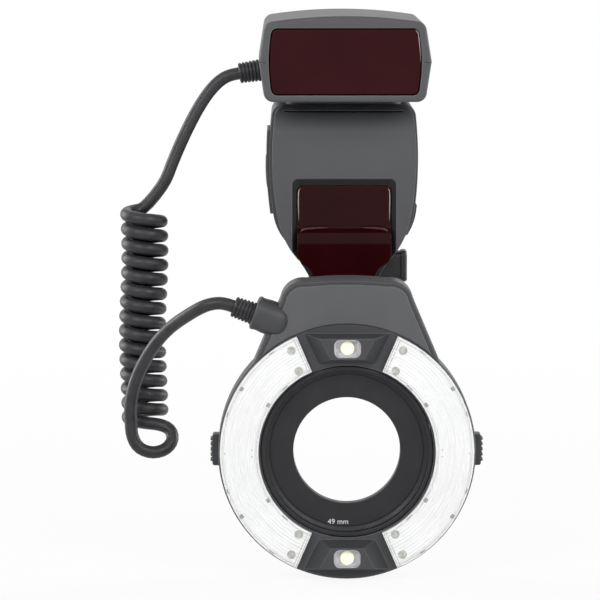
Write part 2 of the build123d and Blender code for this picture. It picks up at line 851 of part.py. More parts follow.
terminal_middle_y, terminal_middle_z = (terminal_front + terminal_back) / 2, (terminal_low + terminal_high) / 2
with BuildPart() as terminal_cover:
    with BuildSketch(side_on(body_half + terminal_proud * 2)):
        with Locations((terminal_middle_y + terminal_swing_room / 2, terminal_middle_z)):
            RectangleRounded(
                terminal_back - terminal_front - wall * 2 - clearance * 2 - terminal_swing_room,
                terminal_high - terminal_low - wall * 2 - clearance * 2,
                wall - clearance,
            )
    extrude(amount=-body_half / 2)
    with BuildSketch(facing(terminal_back)):
        add(body_outline(terminal_proud / 2))
        add(body_outline(-wall / 2), mode=Mode.SUBTRACT)
    extrude(amount=terminal_back - terminal_front, mode=Mode.INTERSECT)
    with BuildSketch(facing(terminal_back)):
        add(body_outline(terminal_proud))
        add(body_outline(running_gap), mode=Mode.SUBTRACT)
        with Locations((body_half, terminal_middle_z)):
            Rectangle(body_half, terminal_high - terminal_low, mode=Mode.INTERSECT)
    extrude(amount=terminal_back - terminal_front)
    with Locations((body_waist_half + (terminal_proud + running_gap) / 2, terminal_back, body_waist_height)):
        Cylinder(terminal_roll_radius, terminal_roll_length, align=(Align.CENTER, Align.CENTER, Align.MAX))
keep(terminal_cover, "terminal_cover")

socket_face_x = body_base_half + wall + overrun * 3 / 4
with BuildPart() as terminal_sockets:
    with BuildSketch(side_on(socket_face_x - socket_depth)):
        with Locations((terminal_middle_y, (body_waist_height + terminal_low) / 2)):
            Rectangle(terminal_back - terminal_front - wall, body_waist_height - terminal_low - overrun)
    extrude(amount=socket_depth)
    with BuildSketch(side_on(socket_face_x)):
        with Locations((terminal_middle_y, terminal_middle_z)):
            with GridLocations(socket_pitch, 1, 2, 1):
                Circle(socket_radius)
    extrude(amount=wall)
    with BuildSketch(side_on(socket_face_x + wall)):
        with Locations((terminal_middle_y, terminal_middle_z)):
            with GridLocations(socket_pitch, 1, 2, 1):
                Circle(socket_bore)
    extrude(amount=-socket_depth, mode=Mode.SUBTRACT)
keep(terminal_sockets, "terminal_sockets")

# Rear controls

lip_face = body_back - wall - lip_thickness
panel_face = body_back + panel_proud
panel_middle_z = (panel_low + panel_high) / 2
lcd_middle_z = (lcd_low + lcd_high) / 2
flange_face = lip_face - running_gap * 2
board_face = bay_middle_y + bay_half + clearance + board_thickness
stem_face = board_face + key_travel + clearance
key_spots = [(key_pitch * (index - 1.5), key_row_z) for index in range(4)]
side_key_spots = {"test_button": (-side_key_x, side_key_z), "lamp_button": (side_key_x, side_key_z)}

with BuildPart() as control_panel:
    with BuildSketch(facing(body_back - wall)):
        with Locations((0, panel_middle_z)):
            RectangleRounded((panel_half + panel_lip) * 2, panel_high - panel_low + panel_lip * 2, wall)
    extrude(amount=lip_thickness)
    with BuildSketch(facing(panel_face)):
        with Locations((0, panel_middle_z)):
            RectangleRounded(panel_half * 2, panel_high - panel_low, wall)
    extrude(amount=panel_face - body_back + wall)
    chamfer(control_panel.faces().sort_by(Axis.Y)[-1].edges(), panel_proud / 2)
    with BuildSketch(facing(panel_face + overrun)):
        with Locations((0, lcd_middle_z)):
            RectangleRounded(lcd_half * 2, lcd_high - lcd_low, overrun)
    extrude(amount=panel_face + overrun - body_back + wall, mode=Mode.SUBTRACT)
    with BuildSketch(facing(panel_face + overrun)):
        with Locations((0, lcd_middle_z)):
            RectangleRounded(lcd_half * 2 - wall, lcd_high - lcd_low - wall, overrun)
        with Locations(*key_spots):
            RectangleRounded(key_width + clearance, key_height + clearance, overrun)
        with Locations(*side_key_spots.values()):
            Circle(side_key_radius + clearance / 2)
        with Locations((0, dial_z)):
            Circle(dial_bore + overrun + running_gap)
        with Locations((side_key_x, lever_z)):
            Circle(lever_disc_radius / 2 + running_gap)
    extrude(amount=panel_face - lip_face + overrun * 2, mode=Mode.SUBTRACT)
    with BuildSketch(facing(panel_face + overrun)):
        with Locations((0, dial_z)):
            Circle(dial_radius + clearance)
    extrude(amount=overrun * 2, mode=Mode.SUBTRACT)
keep(control_panel, "control_panel")

with BuildPart() as lcd_window:
    with BuildSketch(facing(panel_face - clearance)):
        with Locations((0, lcd_middle_z)):
            RectangleRounded(lcd_half * 2 - clearance, lcd_high - lcd_low - clearance, overrun)
    extrude(amount=panel_face - clearance - body_back + wall)
keep(lcd_window, "lcd_window")

with BuildPart() as lcd_panel:
    with BuildSketch(facing(lip_face)):
        with Locations((0, lcd_middle_z)):
            Rectangle(lcd_half * 2 + overrun, lcd_high - lcd_low + overrun)
    extrude(amount=lcd_thickness)
keep(lcd_panel, "lcd_panel")

for index, spot in enumerate(key_spots, start=1):
    with BuildPart() as function_button:
        with BuildSketch(facing(panel_face + key_proud)):
            with Locations(spot):
                RectangleRounded(key_width, key_height, overrun)
        extrude(amount=panel_face + key_proud - flange_face)
        chamfer(function_button.faces().sort_by(Axis.Y)[-1].edges(), key_proud / 4)
        with BuildSketch(facing(flange_face)):
            with Locations(spot):
                Rectangle(key_width + key_flange * 2, key_height + key_flange * 2)
        extrude(amount=key_flange_thickness)
        with BuildSketch(facing(flange_face - key_flange_thickness)):
            with Locations(spot):
                Rectangle(key_height / 2, key_height / 2)
        extrude(amount=flange_face - key_flange_thickness - stem_face)
    keep(function_button, f"function_button_{index}")

for name, spot in side_key_spots.items():
    with BuildPart() as side_button:
        with BuildSketch(facing(panel_face + key_proud)):
            with Locations(spot):
                Circle(side_key_radius)
        extrude(amount=panel_face + key_proud - flange_face)
        chamfer(side_button.faces().sort_by(Axis.Y)[-1].edges(), key_proud / 4)
        with BuildSketch(facing(flange_face)):
            with Locations(spot):
                Rectangle((side_key_radius + key_flange) * 2, (side_key_radius + key_flange) * 2)
        extrude(amount=key_flange_thickness)
        with BuildSketch(facing(flange_face - key_flange_thickness)):
            with Locations(spot):
                Rectangle(key_height / 2, key_height / 2)
        extrude(amount=flange_face - key_flange_thickness - stem_face)
    keep(side_button, name)

dial_seat = panel_face - overrun + running_gap * 2
with BuildPart() as select_dial:
    with BuildSketch(facing(dial_seat + dial_thickness)):
        with Locations((0, dial_z)):
            Circle(dial_radius)
            Circle(dial_bore, mode=Mode.SUBTRACT)
        with Locations((0, dial_z)):
            with PolarLocations(dial_radius, dial_notches):
                Circle(dial_radius / dial_notches, mode=Mode.SUBTRACT)
    extrude(amount=dial_thickness)
    with BuildSketch(facing(dial_seat)):
        with Locations((0, dial_z)):
            Circle(dial_bore + overrun)
            Circle(dial_bore, mode=Mode.SUBTRACT)
    extrude(amount=dial_seat - flange_face + key_flange_thickness)
    with BuildSketch(facing(flange_face)):
        with Locations((0, dial_z)):
            Circle(dial_bore + overrun + key_flange)
            Circle(dial_bore, mode=Mode.SUBTRACT)
    extrude(amount=key_flange_thickness)
keep(select_dial, "select_dial")

set_flange_face = flange_face - key_flange_thickness - running_gap * 2
with BuildPart() as set_button:
    with BuildSketch(facing(dial_seat + dial_thickness + clearance)):
        with Locations((0, dial_z)):
            Circle(set_radius)
    extrude(amount=dial_seat + dial_thickness + clearance - set_flange_face)
    chamfer(set_button.faces().sort_by(Axis.Y)[-1].edges(), key_proud / 4)
    with BuildSketch(facing(set_flange_face)):
        with Locations((0, dial_z)):
            Circle(dial_bore + key_flange)
    extrude(amount=key_flange_thickness)
    with BuildSketch(facing(set_flange_face - key_flange_thickness)):
        with Locations((0, dial_z)):
            Rectangle(key_height / 2, key_height / 2)
    extrude(amount=set_flange_face - key_flange_thickness - stem_face)
keep(set_button, "set_button")

with BuildPart() as power_lever:
    with BuildSketch(facing(panel_face + key_proud)):
        with Locations((side_key_x, lever_z)):
            Circle(lever_disc_radius)
        with Locations((side_key_x - lever_tab_length / 2 - wall / 2, lever_z)):
            RectangleRounded(lever_tab_length + wall, lever_tab_width, lever_tab_width / 3)
    extrude(amount=key_proud - running_gap * 2)
    with BuildSketch(facing(panel_face + running_gap * 2)):
        with Locations((side_key_x, lever_z)):
            Circle(lever_disc_radius / 2)
    extrude(amount=panel_face + running_gap * 2 - flange_face)
    with BuildSketch(facing(flange_face)):
        with Locations((side_key_x, lever_z)):
            Circle(lever_disc_radius / 2 + key_flange)
    extrude(amount=key_flange_thickness)
keep(power_lever, "power_lever")

with BuildPart() as main_board:
    with BuildSketch(facing(board_face)):
        with Locations((0, panel_middle_z)):
            Rectangle(panel_half * 2, panel_high - panel_low)
    extrude(amount=board_thickness)
keep(main_board, "main_board")

driver_floor = box_bottom + wall
with BuildPart() as driver_board:
    with BuildSketch(Plane.XY.offset(driver_floor)):
        with Locations((0, neck_middle)):
            Rectangle(neck_width, box_back - neck_middle + neck_length / 2)
            Circle(cable_hole_radius, mode=Mode.SUBTRACT)
    extrude(amount=board_thickness)
keep(driver_board, "driver_board")

with BuildPart() as main_capacitor:
    with BuildSketch(side_on(-capacitor_length / 2)):
        with Locations((capacitor_y, driver_floor + board_thickness + capacitor_radius)):
            Circle(capacitor_radius)
    extrude(amount=capacitor_length)
    chamfer(main_capacitor.edges().filter_by(GeomType.CIRCLE), capacitor_radius / 12)
keep(main_capacitor, "main_capacitor")

# Ring head

ring_face = ring_front + window_raise
head_back = ring_front + head_depth
head_joint = head_back - head_split
trough_floor = ring_face + reflector_depth
trough_back = trough_floor + housing_floor
plateau = ring_front - pod_proud
lamp_floor = plateau + lamp_recess + lamp_depth
latch_fronts = [trough_back + overrun, trough_back + overrun * 2 + latch_thickness]
button_middle = (latch_fronts[0] + latch_fronts[1] + latch_thickness) / 2


def head_outline():
    """The head seen from the front: the round ring and the cap above it."""
    with BuildSketch() as shape:
        Circle(ring_radius)
        add(cap_outline())
    return shape.sketch


def pod_outline(inner_half, outer_half, inner_z, outer_z, upside):
    """A lamp pod's trapezoid above the bore, or below it when upside is -1."""
    with BuildSketch() as shape:
        with BuildLine():
            Polyline(
                (-inner_half, inner_z * upside), (inner_half, inner_z * upside),
                (outer_half, outer_z * upside), (-outer_half, outer_z * upside), close=True,
            )
        make_face()
    return shape.sketch


with BuildPart() as ring_front_housing:
    with BuildSketch(facing(head_joint, ring_axis_z)):
        add(head_outline())
    extrude(amount=head_joint - ring_face)
    chamfer(ring_front_housing.faces().sort_by(Axis.Y)[0].edges(), head_edge)
    for upside in (1, -1):
        with BuildSketch(facing(ring_face + overrun, ring_axis_z)):
            add(pod_outline(
                pod_foot_inner_half, pod_foot_outer_half, pod_foot_inner_z, pod_foot_outer_z, upside
            ))
        with BuildSketch(facing(plateau, ring_axis_z)):
            add(pod_outline(pod_inner_half, pod_outer_half, pod_inner_z, pod_outer_z, upside))
        loft()
    with BuildSketch(facing(head_joint + overrun, ring_axis_z)):
        Circle(bore_radius)
    extrude(amount=head_joint + overrun - plateau, mode=Mode.SUBTRACT)
    # troughs for the reflectors
    with BuildSketch(facing(trough_floor, ring_axis_z)):
        add(ring_sector(trough_inner, trough_outer, trough_end_degrees))
        add(ring_sector(trough_inner, trough_outer, trough_end_degrees), rotation=180)
    extrude(amount=trough_floor - ring_face + overrun, mode=Mode.SUBTRACT)
    # latch channel from behind, and the hollow of the cap
    with BuildSketch(facing(head_joint, ring_axis_z)):
        Circle(channel_outer)
        Circle(channel_inner, mode=Mode.SUBTRACT)
    extrude(amount=head_joint - trough_back, mode=Mode.SUBTRACT)
    with BuildSketch(facing(head_joint, ring_axis_z)):
        add(cap_outline(wall))
        Circle(ring_radius, mode=Mode.SUBTRACT)
    extrude(amount=head_joint - ring_face - wall, mode=Mode.SUBTRACT)
    # lamp pockets in the pods
    with BuildSketch(facing(lamp_floor, ring_axis_z)):
        for upside in (1, -1):
            with Locations((0, lamp_radius_out * upside)):
                add(lamp_outline(running_gap))
    extrude(amount=lamp_floor - plateau + overrun, mode=Mode.SUBTRACT)
    # slots for the claws and openings for the buttons
    for side, latch_front in zip((1, -1), latch_fronts):
        with BuildSketch(facing(latch_front + latch_thickness + clearance, ring_axis_z)):
            with Locations((-side * channel_inner, 0)):
                Rectangle(wall * 4, (claw_half_width + clearance) * 2)
        extrude(amount=latch_thickness + clearance * 2, mode=Mode.SUBTRACT)
    with BuildSketch(facing(button_middle + button_depth / 2 + clearance, ring_axis_z)):
        with Locations((-ring_radius, 0), (ring_radius, 0)):
            Rectangle((button_bite + latch_travel + overrun) * 2, (button_half_height + clearance) * 2)
    extrude(amount=button_depth + clearance * 2, mode=Mode.SUBTRACT)
keep(ring_front_housing, "ring_front_housing")

with BuildPart() as ring_rear_cover:
    with BuildSketch(facing(head_back, ring_axis_z)):
        add(head_outline())
    extrude(amount=head_split)
    chamfer(ring_rear_cover.faces().sort_by(Axis.Y)[-1].edges(), head_back_edge)
    with BuildSketch(facing(head_back + overrun, ring_axis_z)):
        Circle(bore_radius)
    extrude(amount=head_split + overrun * 2, mode=Mode.SUBTRACT)
    with BuildSketch(facing(head_back - wall, ring_axis_z)):
        Circle(channel_outer)
        Circle(channel_inner, mode=Mode.SUBTRACT)
    extrude(amount=head_split, mode=Mode.SUBTRACT)
    with BuildSketch(facing(head_back - wall, ring_axis_z)):
        add(cap_outline(wall * 2))
        Circle(ring_radius, mode=Mode.SUBTRACT)
    extrude(amount=head_split, mode=Mode.SUBTRACT)
    with BuildSketch(facing(button_middle + button_depth / 2 + clearance, ring_axis_z)):
        with Locations((-ring_radius, 0), (ring_radius, 0)):
            Rectangle((button_bite + latch_travel + overrun) * 2, (button_half_height + clearance) * 2)
    extrude(amount=button_depth, mode=Mode.SUBTRACT)
keep(ring_rear_cover, "ring_rear_cover")

with BuildPart() as cap_plate:
    with BuildSketch(facing(ring_face, ring_axis_z)):
        add(cap_outline(cap_seam))
        Circle(ring_radius, mode=Mode.SUBTRACT)
    extrude(amount=cap_plate_proud)
    chamfer(cap_plate.faces().sort_by(Axis.Y)[0].edges(), cap_plate_proud / 3)
keep(cap_plate, "cap_plate")

for turn, side_name in ((0, "right"), (180, "left")):
    with BuildPart() as tube_window:
        with BuildSketch(facing(ring_face, ring_axis_z)):
            add(ring_sector(window_inner, window_outer, window_end_degrees), rotation=turn)
        extrude(amount=window_raise)
        chamfer(tube_window.faces().sort_by(Axis.Y)[0].edges(), window_skin / 3)
        with BuildSketch(facing(ring_face, ring_axis_z)):
            add(
                ring_sector(
                    window_inner + window_skin, window_outer - window_skin,
                    window_end_degrees + degrees(window_skin / tube_ring_radius),
                ),
                rotation=turn,
            )
        extrude(amount=window_raise - window_skin, mode=Mode.SUBTRACT)
    keep(tube_window, f"{side_name}_tube_window")

with BuildPart() as tube_reflectors:
    with BuildSketch(facing(trough_floor - running_gap, ring_axis_z)):
        for turn in (0, 180):
            add(
                ring_sector(trough_inner + running_gap, trough_outer - running_gap, trough_end_degrees),
                rotation=turn,
            )
    extrude(amount=trough_floor - running_gap - ring_face)
    with BuildSketch(facing(trough_floor - reflector_wall, ring_axis_z)):
        for turn in (0, 180):
            add(
                ring_sector(
                    trough_inner + reflector_wall, trough_outer - reflector_wall,
                    trough_end_degrees + degrees(reflector_wall / tube_ring_radius),
                ),
                rotation=turn,
            )
    extrude(amount=trough_floor - ring_face, mode=Mode.SUBTRACT)
keep(tube_reflectors, "tube_reflectors")

tube_middle = trough_floor - reflector_wall - running_gap * 2 - tube_radius
with BuildPart() as flash_tubes:
    for side in (1, -1):
        with BuildLine(facing(tube_middle, ring_axis_z)) as tube_path:
            CenterArc(
                (0, 0), tube_ring_radius, 90 - side * tube_end_degrees,
                -side * (180 - tube_end_degrees * 2),
            )
        with BuildSketch(Plane(origin=tube_path.line @ 0, z_dir=tube_path.line % 0)):
            RegularPolygon(tube_radius, cord_sides)
        sweep(path=tube_path.line)
keep(flash_tubes, "flash_tubes")

lens_face = plateau + lamp_recess
with BuildPart() as lamp_lenses:
    for upside in (1, -1):
        with BuildSketch(facing(lamp_floor - lamp_chip - clearance, ring_axis_z)):
            with Locations((0, lamp_radius_out * upside)):
                add(lamp_outline())
        extrude(amount=lamp_floor - lamp_chip - clearance - lens_face)
keep(lamp_lenses, "lamp_lenses")

with BuildPart() as lamp_leds:
    with BuildSketch(facing(lamp_floor, ring_axis_z)):
        with Locations((0, lamp_radius_out), (0, -lamp_radius_out)):
            Circle(lamp_half_height - overrun)
    extrude(amount=lamp_chip)
keep(lamp_leds, "lamp_leds")

with BuildPart() as ring_board:
    with BuildSketch(facing(head_back - wall, ring_axis_z)):
        Circle(board_outer)
        Circle(channel_inner + overrun, mode=Mode.SUBTRACT)
    extrude(amount=board_thickness)
keep(ring_board, "ring_board")

# Release buttons with their latch plates

for side, side_name, latch_front in ((1, "right", latch_fronts[0]), (-1, "left", latch_fronts[1])):
    with BuildPart() as latch_plate:
        with BuildSketch(facing(latch_front + latch_thickness, ring_axis_z)):
            Circle(latch_outer)
            with Locations((side * (latch_outer + ring_radius - button_bite) / 2, 0)):
                Rectangle(ring_radius - button_bite - latch_outer + overrun * 2, button_stem_half * 2)
            Circle(latch_inner, mode=Mode.SUBTRACT)
            with Locations((-side * (latch_inner + claw_tip) / 2, 0)):
                Rectangle(latch_inner - claw_tip + overrun * 2, claw_half_width * 2)
            Circle(claw_tip, mode=Mode.SUBTRACT)
            with Locations((side * (ring_radius - button_bite + overrun), 0)):
                Rectangle(overrun * 2, button_stem_half * 4, mode=Mode.SUBTRACT)
        extrude(amount=latch_thickness)
    keep(latch_plate, f"{side_name}_latch_plate")
    with BuildPart() as release_button:
        with BuildSketch(facing(button_middle + button_depth / 2, ring_axis_z)):
            Circle(ring_radius + button_proud)
            with Locations((side * (ring_radius - button_bite + button_radius_room), 0)):
                Rectangle(button_radius_room * 2, button_half_height * 2, mode=Mode.INTERSECT)
        extrude(amount=button_depth)
        fillet(release_button.edges().filter_by(Axis.Y).group_by(Axis.X)[-1 if side > 0 else 0], overrun)
        for index in range(button_ribs):
            rib_z = ring_axis_z + button_half_height * (index * 2 + 1 - button_ribs) / (button_ribs + 1)
            with Locations((side * (ring_radius + button_proud), button_middle, rib_z)):
                Box(button_rib_height * 2, button_depth - overrun, button_rib_height * 2)
    keep(release_button, f"{side_name}_release_button")

# Adapter ring

adapter_front = ring_front + adapter_front_depth
adapter_back = adapter_front + adapter_length
disc_front = ring_front + adapter_disc_depth
disc_back = disc_front + adapter_disc_thickness
groove_front = latch_fronts[0] - groove_room
groove_back = latch_fronts[1] + latch_thickness + groove_room
with BuildPart() as adapter_ring:
    with BuildSketch(Plane(origin=(0, 0, ring_axis_z), x_dir=(0, 1, 0), z_dir=(1, 0, 0))):
        with BuildLine():
            Polyline(
                (adapter_front, adapter_radius - adapter_rim), (adapter_front, adapter_radius),
                (groove_front, adapter_radius), (groove_front, adapter_groove_radius),
                (groove_back, adapter_groove_radius), (groove_back, adapter_radius),
                (adapter_back, adapter_radius), (adapter_back, adapter_shell_radius),
                (disc_back, adapter_shell_radius), (disc_back, adapter_thread_radius),
                (disc_back + adapter_thread_length, adapter_thread_radius),
                (disc_back + adapter_thread_length, adapter_hole_radius),
                (disc_front, adapter_hole_radius), (disc_front, adapter_radius - adapter_rim),
                close=True,
            )
        make_face()
    revolve(axis=Axis((0, 0, ring_axis_z), (0, 1, 0)))
    chamfer(adapter_ring.faces().sort_by(Axis.Y)[0].edges(), clearance)
keep(adapter_ring, "adapter_ring")

# Elbow, boots and the cord

elbow_tilt = radians(elbow_tilt_degrees)
elbow_way = Vector(-cos(elbow_tilt), 0, sin(elbow_tilt))
elbow_middle = Vector(elbow_x, elbow_front + elbow_deep / 2, ring_axis_z + elbow_z)
side_tilt = atan2(box_half - box_top_half, box_seam - box_bottom)
box_way = Vector(-cos(side_tilt), 0, -sin(side_tilt))
box_root = Vector(-box_half + box_boot_drop * tan(side_tilt), box_boot_y, box_seam - box_boot_drop)
head_root = elbow_middle + elbow_way * (elbow_along / 2)
box_tip = box_root + box_way * boot_length
head_tip = head_root + elbow_way * boot_length

with BuildPart() as elbow_housing:
    elbow_plane = Plane(
        origin=(elbow_x, elbow_front + elbow_deep, ring_axis_z + elbow_z), x_dir=elbow_way, z_dir=(0, -1, 0)
    )
    with BuildSketch(elbow_plane):
        Rectangle(elbow_along, elbow_across)
    extrude(amount=elbow_deep)
    fillet(elbow_housing.edges(), elbow_round)
    with BuildSketch(facing(head_back + overrun, ring_axis_z)):
        add(head_outline())
    extrude(amount=head_back + overrun - ring_face, mode=Mode.SUBTRACT)
    with BuildSketch(facing(ring_face, ring_axis_z)):
        add(cap_outline(cap_seam))
    extrude(amount=cap_plate_proud, mode=Mode.SUBTRACT)
keep(elbow_housing, "elbow_housing")

for root, way, name in ((box_root, box_way, "box_boot"), (head_root, elbow_way, "head_boot")):
    with BuildPart() as boot:
        with BuildSketch(Plane(origin=root, x_dir=way, z_dir=(0, 1, 0))):
            rib_pitch = boot_length / boot_ribs
            with BuildLine():
                outline = [(0, 0)]
                for index in range(boot_ribs):
                    rib_r = boot_radius + (boot_tip_rib_radius - boot_radius) * index / (boot_ribs - 1)
                    outline.append((index * rib_pitch, rib_r))
                    outline.append(((index + 1 / 2) * rib_pitch, rib_r))
                    outline.append(((index + 1 / 2) * rib_pitch, rib_r - boot_groove))
                    outline.append(((index + 1) * rib_pitch, rib_r - boot_groove))
                outline.append((boot_length, 0))
                Polyline(*outline, close=True)
            make_face()
        revolve(axis=Axis(root, way))
    keep(boot, name)


def corner_radii(points):
    """A bend radius for each corner of a cord's route, from its shorter run and its turn."""
    radii = []
    for before, here, after in zip(points, points[1:], points[2:]):
        come, leave = Vector(*here) - Vector(*before), Vector(*after) - Vector(*here)
        half_turn = radians(come.get_angle(leave)) / 2
        radii.append(bend_share * min(come.length, leave.length) / tan(half_turn))
    return radii


def report_cord(name, block, length):
    """Print a cord stretch's length and how its volume compares with its section."""
    section = cord_sides * (cord_diameter / 2) ** 2 * sin(2 * pi / cord_sides) / 2
    print(name, "length", round(length, 1), "volume share", round(block.part.volume / section / length, 3))


upper_points = [tuple(box_tip), tuple(box_tip + box_way * cord_lead)] + upper_route
lower_points = lower_route + [tuple(head_tip + elbow_way * cord_lead), tuple(head_tip)]
for name, points in (("cord_upper", upper_points), ("cord_lower", lower_points)):
    radii = corner_radii(points)
    print(name, "bend radii", [round(radius, 1) for radius in radii])
    with BuildPart() as cord:
        with BuildLine() as route:
            FilletPolyline(*points, radius=radii)
        with BuildSketch(Plane(origin=route.wire() @ 0, z_dir=route.wire() % 0)):
            RegularPolygon(cord_diameter / 2, cord_sides)
        sweep(path=route.wire(), clean=False)
    report_cord(name, cord, route.wire().length)
    keep(cord, name)


def biarc(start, start_way, stop, stop_way):
    """The joint of two arcs from one place and heading to the next, and the heading there."""
    span, ways = stop - start, start_way + stop_way
    square, lean = 4 - ways.dot(ways), span.dot(ways)
    reach = (sqrt(lean**2 + square * span.dot(span)) - lean) / square
    from_here, to_there = start + start_way * reach, stop - stop_way * reach
    return (from_here + to_there) / 2, (to_there - from_here).normalized()


stations = []
first_way = (Vector(*upper_route[-1]) - Vector(*upper_route[-2])).normalized()
last_way = (Vector(*lower_route[1]) - Vector(*lower_route[0])).normalized()
stations.append((Vector(*upper_route[-1]) + first_way * cord_diameter, first_way))
for half_turn in range(int(coil_turns * 2) + 1):
    turn_share = half_turn / (coil_turns * 2)
    angle = pi / 2 + half_turn * pi
    middle_x = coil_x + coil_sway * sin(2 * pi * coil_sway_waves * turn_share) + coil_drift * turn_share
    place = Vector(
        middle_x + coil_radius * cos(angle),
        coil_y + coil_radius * sin(angle),
        coil_top_z - coil_pitch * half_turn / 2,
    )
    heading = Vector(-sin(angle), cos(angle), -coil_pitch / (2 * pi * coil_radius)).normalized()
    stations.append((place, heading))
for place, heading in loop_stations:
    stations.append((Vector(*place), Vector(*heading).normalized()))
stations.append((Vector(*lower_route[0]) - last_way * cord_diameter, last_way))

with BuildPart() as cord_coil:
    with BuildLine() as curls:
        Line(upper_route[-1], stations[0][0])
        for (start, start_way), (stop, stop_way) in zip(stations, stations[1:]):
            joint, joint_way = biarc(start, start_way, stop, stop_way)
            TangentArc(start, joint, tangent=start_way)
            TangentArc(joint, stop, tangent=joint_way)
        Line(stations[-1][0], lower_route[0])
    with BuildSketch(Plane(origin=upper_route[-1], z_dir=first_way)):
        RegularPolygon(cord_diameter / 2, cord_sides)
    sweep(path=curls.wire(), clean=False)
keep(cord_coil, "cord_coil")

curl_line = curls.wire()
steps = ceil(curl_line.length / (cord_diameter / 4))
curl_points = [curl_line @ (index / steps) for index in range(steps + 1)]
apart = ceil(pi * coil_radius / (curl_line.length / steps))
least_gap = min(
    (curl_points[a] - curl_points[b]).length
    for a in range(len(curl_points))
    for b in range(a + apart, len(curl_points))
) - cord_diameter
report_cord("cord_coil", cord_coil, curl_line.length)
print("least gap of the curls to themselves", round(least_gap, 2))
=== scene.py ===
import math

import bmesh
import bpy
from mathutils import Matrix, Vector


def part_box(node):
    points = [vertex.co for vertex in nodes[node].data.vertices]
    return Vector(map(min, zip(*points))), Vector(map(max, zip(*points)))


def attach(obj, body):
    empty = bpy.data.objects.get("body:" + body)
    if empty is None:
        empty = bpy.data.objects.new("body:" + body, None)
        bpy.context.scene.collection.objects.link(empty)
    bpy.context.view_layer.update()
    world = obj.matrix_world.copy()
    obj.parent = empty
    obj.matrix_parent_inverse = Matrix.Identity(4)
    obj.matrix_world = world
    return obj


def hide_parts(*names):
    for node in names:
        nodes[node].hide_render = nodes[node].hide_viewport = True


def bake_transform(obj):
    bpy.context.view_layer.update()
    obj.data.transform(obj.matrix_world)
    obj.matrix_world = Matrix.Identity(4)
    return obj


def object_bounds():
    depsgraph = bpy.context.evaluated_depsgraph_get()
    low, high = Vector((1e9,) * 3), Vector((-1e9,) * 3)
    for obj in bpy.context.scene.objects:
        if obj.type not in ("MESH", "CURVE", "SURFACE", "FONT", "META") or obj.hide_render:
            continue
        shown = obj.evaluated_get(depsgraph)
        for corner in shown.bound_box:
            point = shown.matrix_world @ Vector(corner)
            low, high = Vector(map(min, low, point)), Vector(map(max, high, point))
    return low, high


# A macro ring flash. The scene is in metres, front is -Y and +Z is up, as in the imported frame.
# Sizes below are in millimetres where MM or at() turns them into metres.

MM = 0.001
TAU = 2 * math.pi

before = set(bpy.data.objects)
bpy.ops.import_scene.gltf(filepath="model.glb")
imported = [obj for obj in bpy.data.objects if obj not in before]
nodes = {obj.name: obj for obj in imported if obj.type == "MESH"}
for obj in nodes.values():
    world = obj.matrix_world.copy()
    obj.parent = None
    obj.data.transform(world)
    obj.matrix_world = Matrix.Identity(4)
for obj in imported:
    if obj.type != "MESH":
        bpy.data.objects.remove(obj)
cad_low, cad_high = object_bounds()


# Camera, floor and light

CAMERA_PLACE = (-0.0331, -1.6797, 0.1863)
CAMERA_PITCH = 90 - 6.326
CAMERA_TURN = -0.489
CAMERA_LENS = 230.8
SENSOR_WIDTH = 36.0
CLIP_NEAR = 0.05
CLIP_FAR = 50.0
WHITE = (1.0, 1.0, 1.0, 1.0)

view = bpy.data.cameras.new("view")
view.lens = CAMERA_LENS
view.sensor_width = SENSOR_WIDTH
view.clip_start = CLIP_NEAR
view.clip_end = CLIP_FAR
camera = bpy.data.objects.new("camera", view)
camera.location = CAMERA_PLACE
camera.rotation_euler = (math.radians(CAMERA_PITCH), 0.0, math.radians(CAMERA_TURN))
bpy.context.scene.collection.objects.link(camera)
bpy.context.scene.camera = camera
bpy.context.scene.view_settings.view_transform = "Standard"


def map_range(tree, value, source, target):
    """A socket's value, taken from one (low, high) range into another."""
    made = tree.nodes.new("ShaderNodeMapRange")
    made.inputs["From Min"].default_value, made.inputs["From Max"].default_value = source
    made.inputs["To Min"].default_value, made.inputs["To Max"].default_value = target
    tree.links.new(value, made.inputs["Value"])
    return made.outputs["Result"]


def joined(tree, operation, one, two):
    """Two sockets joined by a math node."""
    made = tree.nodes.new("ShaderNodeMath")
    made.operation = operation
    tree.links.new(one, made.inputs[0])
    tree.links.new(two, made.inputs[1])
    return made.outputs[0]


def white_to_the_eye(tree, plain, white, output, share=None):
    """Show a white shader in place of a plain one to camera, glossy and transmission rays."""
    path = tree.nodes.new("ShaderNodeLightPath")
    seen = joined(tree, "MAXIMUM", path.outputs["Is Camera Ray"], path.outputs["Is Glossy Ray"])
    seen = joined(tree, "MAXIMUM", seen, path.outputs["Is Transmission Ray"])
    if share:
        seen = joined(tree, "MULTIPLY", seen, share)
    white.inputs["Color"].default_value = WHITE
    white.inputs["Strength"].default_value = 1.0
    mixer = tree.nodes.new("ShaderNodeMixShader")
    tree.links.new(seen, mixer.inputs["Fac"])
    tree.links.new(plain.outputs[0], mixer.inputs[1])
    tree.links.new(white.outputs[0], mixer.inputs[2])
    tree.links.new(mixer.outputs[0], output.inputs["Surface"])


FLOOR_DROP = 0.3 * MM
FLOOR_SIZE = 6.0
FLOOR_COLOUR = (0.86, 0.86, 0.87, 1.0)
FLOOR_ROUGHNESS = 0.85
FLOOR_NEAR_SHARE = 0.9
FLOOR_FADE = (0.12, 0.75)


def floor_white_share(tree):
    """How much of the floor is plain white: all of it away from the object."""
    place = tree.nodes.new("ShaderNodeTexCoord").outputs["Object"]
    reach = tree.nodes.new("ShaderNodeVectorMath")
    reach.operation = "LENGTH"
    tree.links.new(place, reach.inputs[0])
    return map_range(tree, reach.outputs["Value"], FLOOR_FADE, (FLOOR_NEAR_SHARE, 1.0))


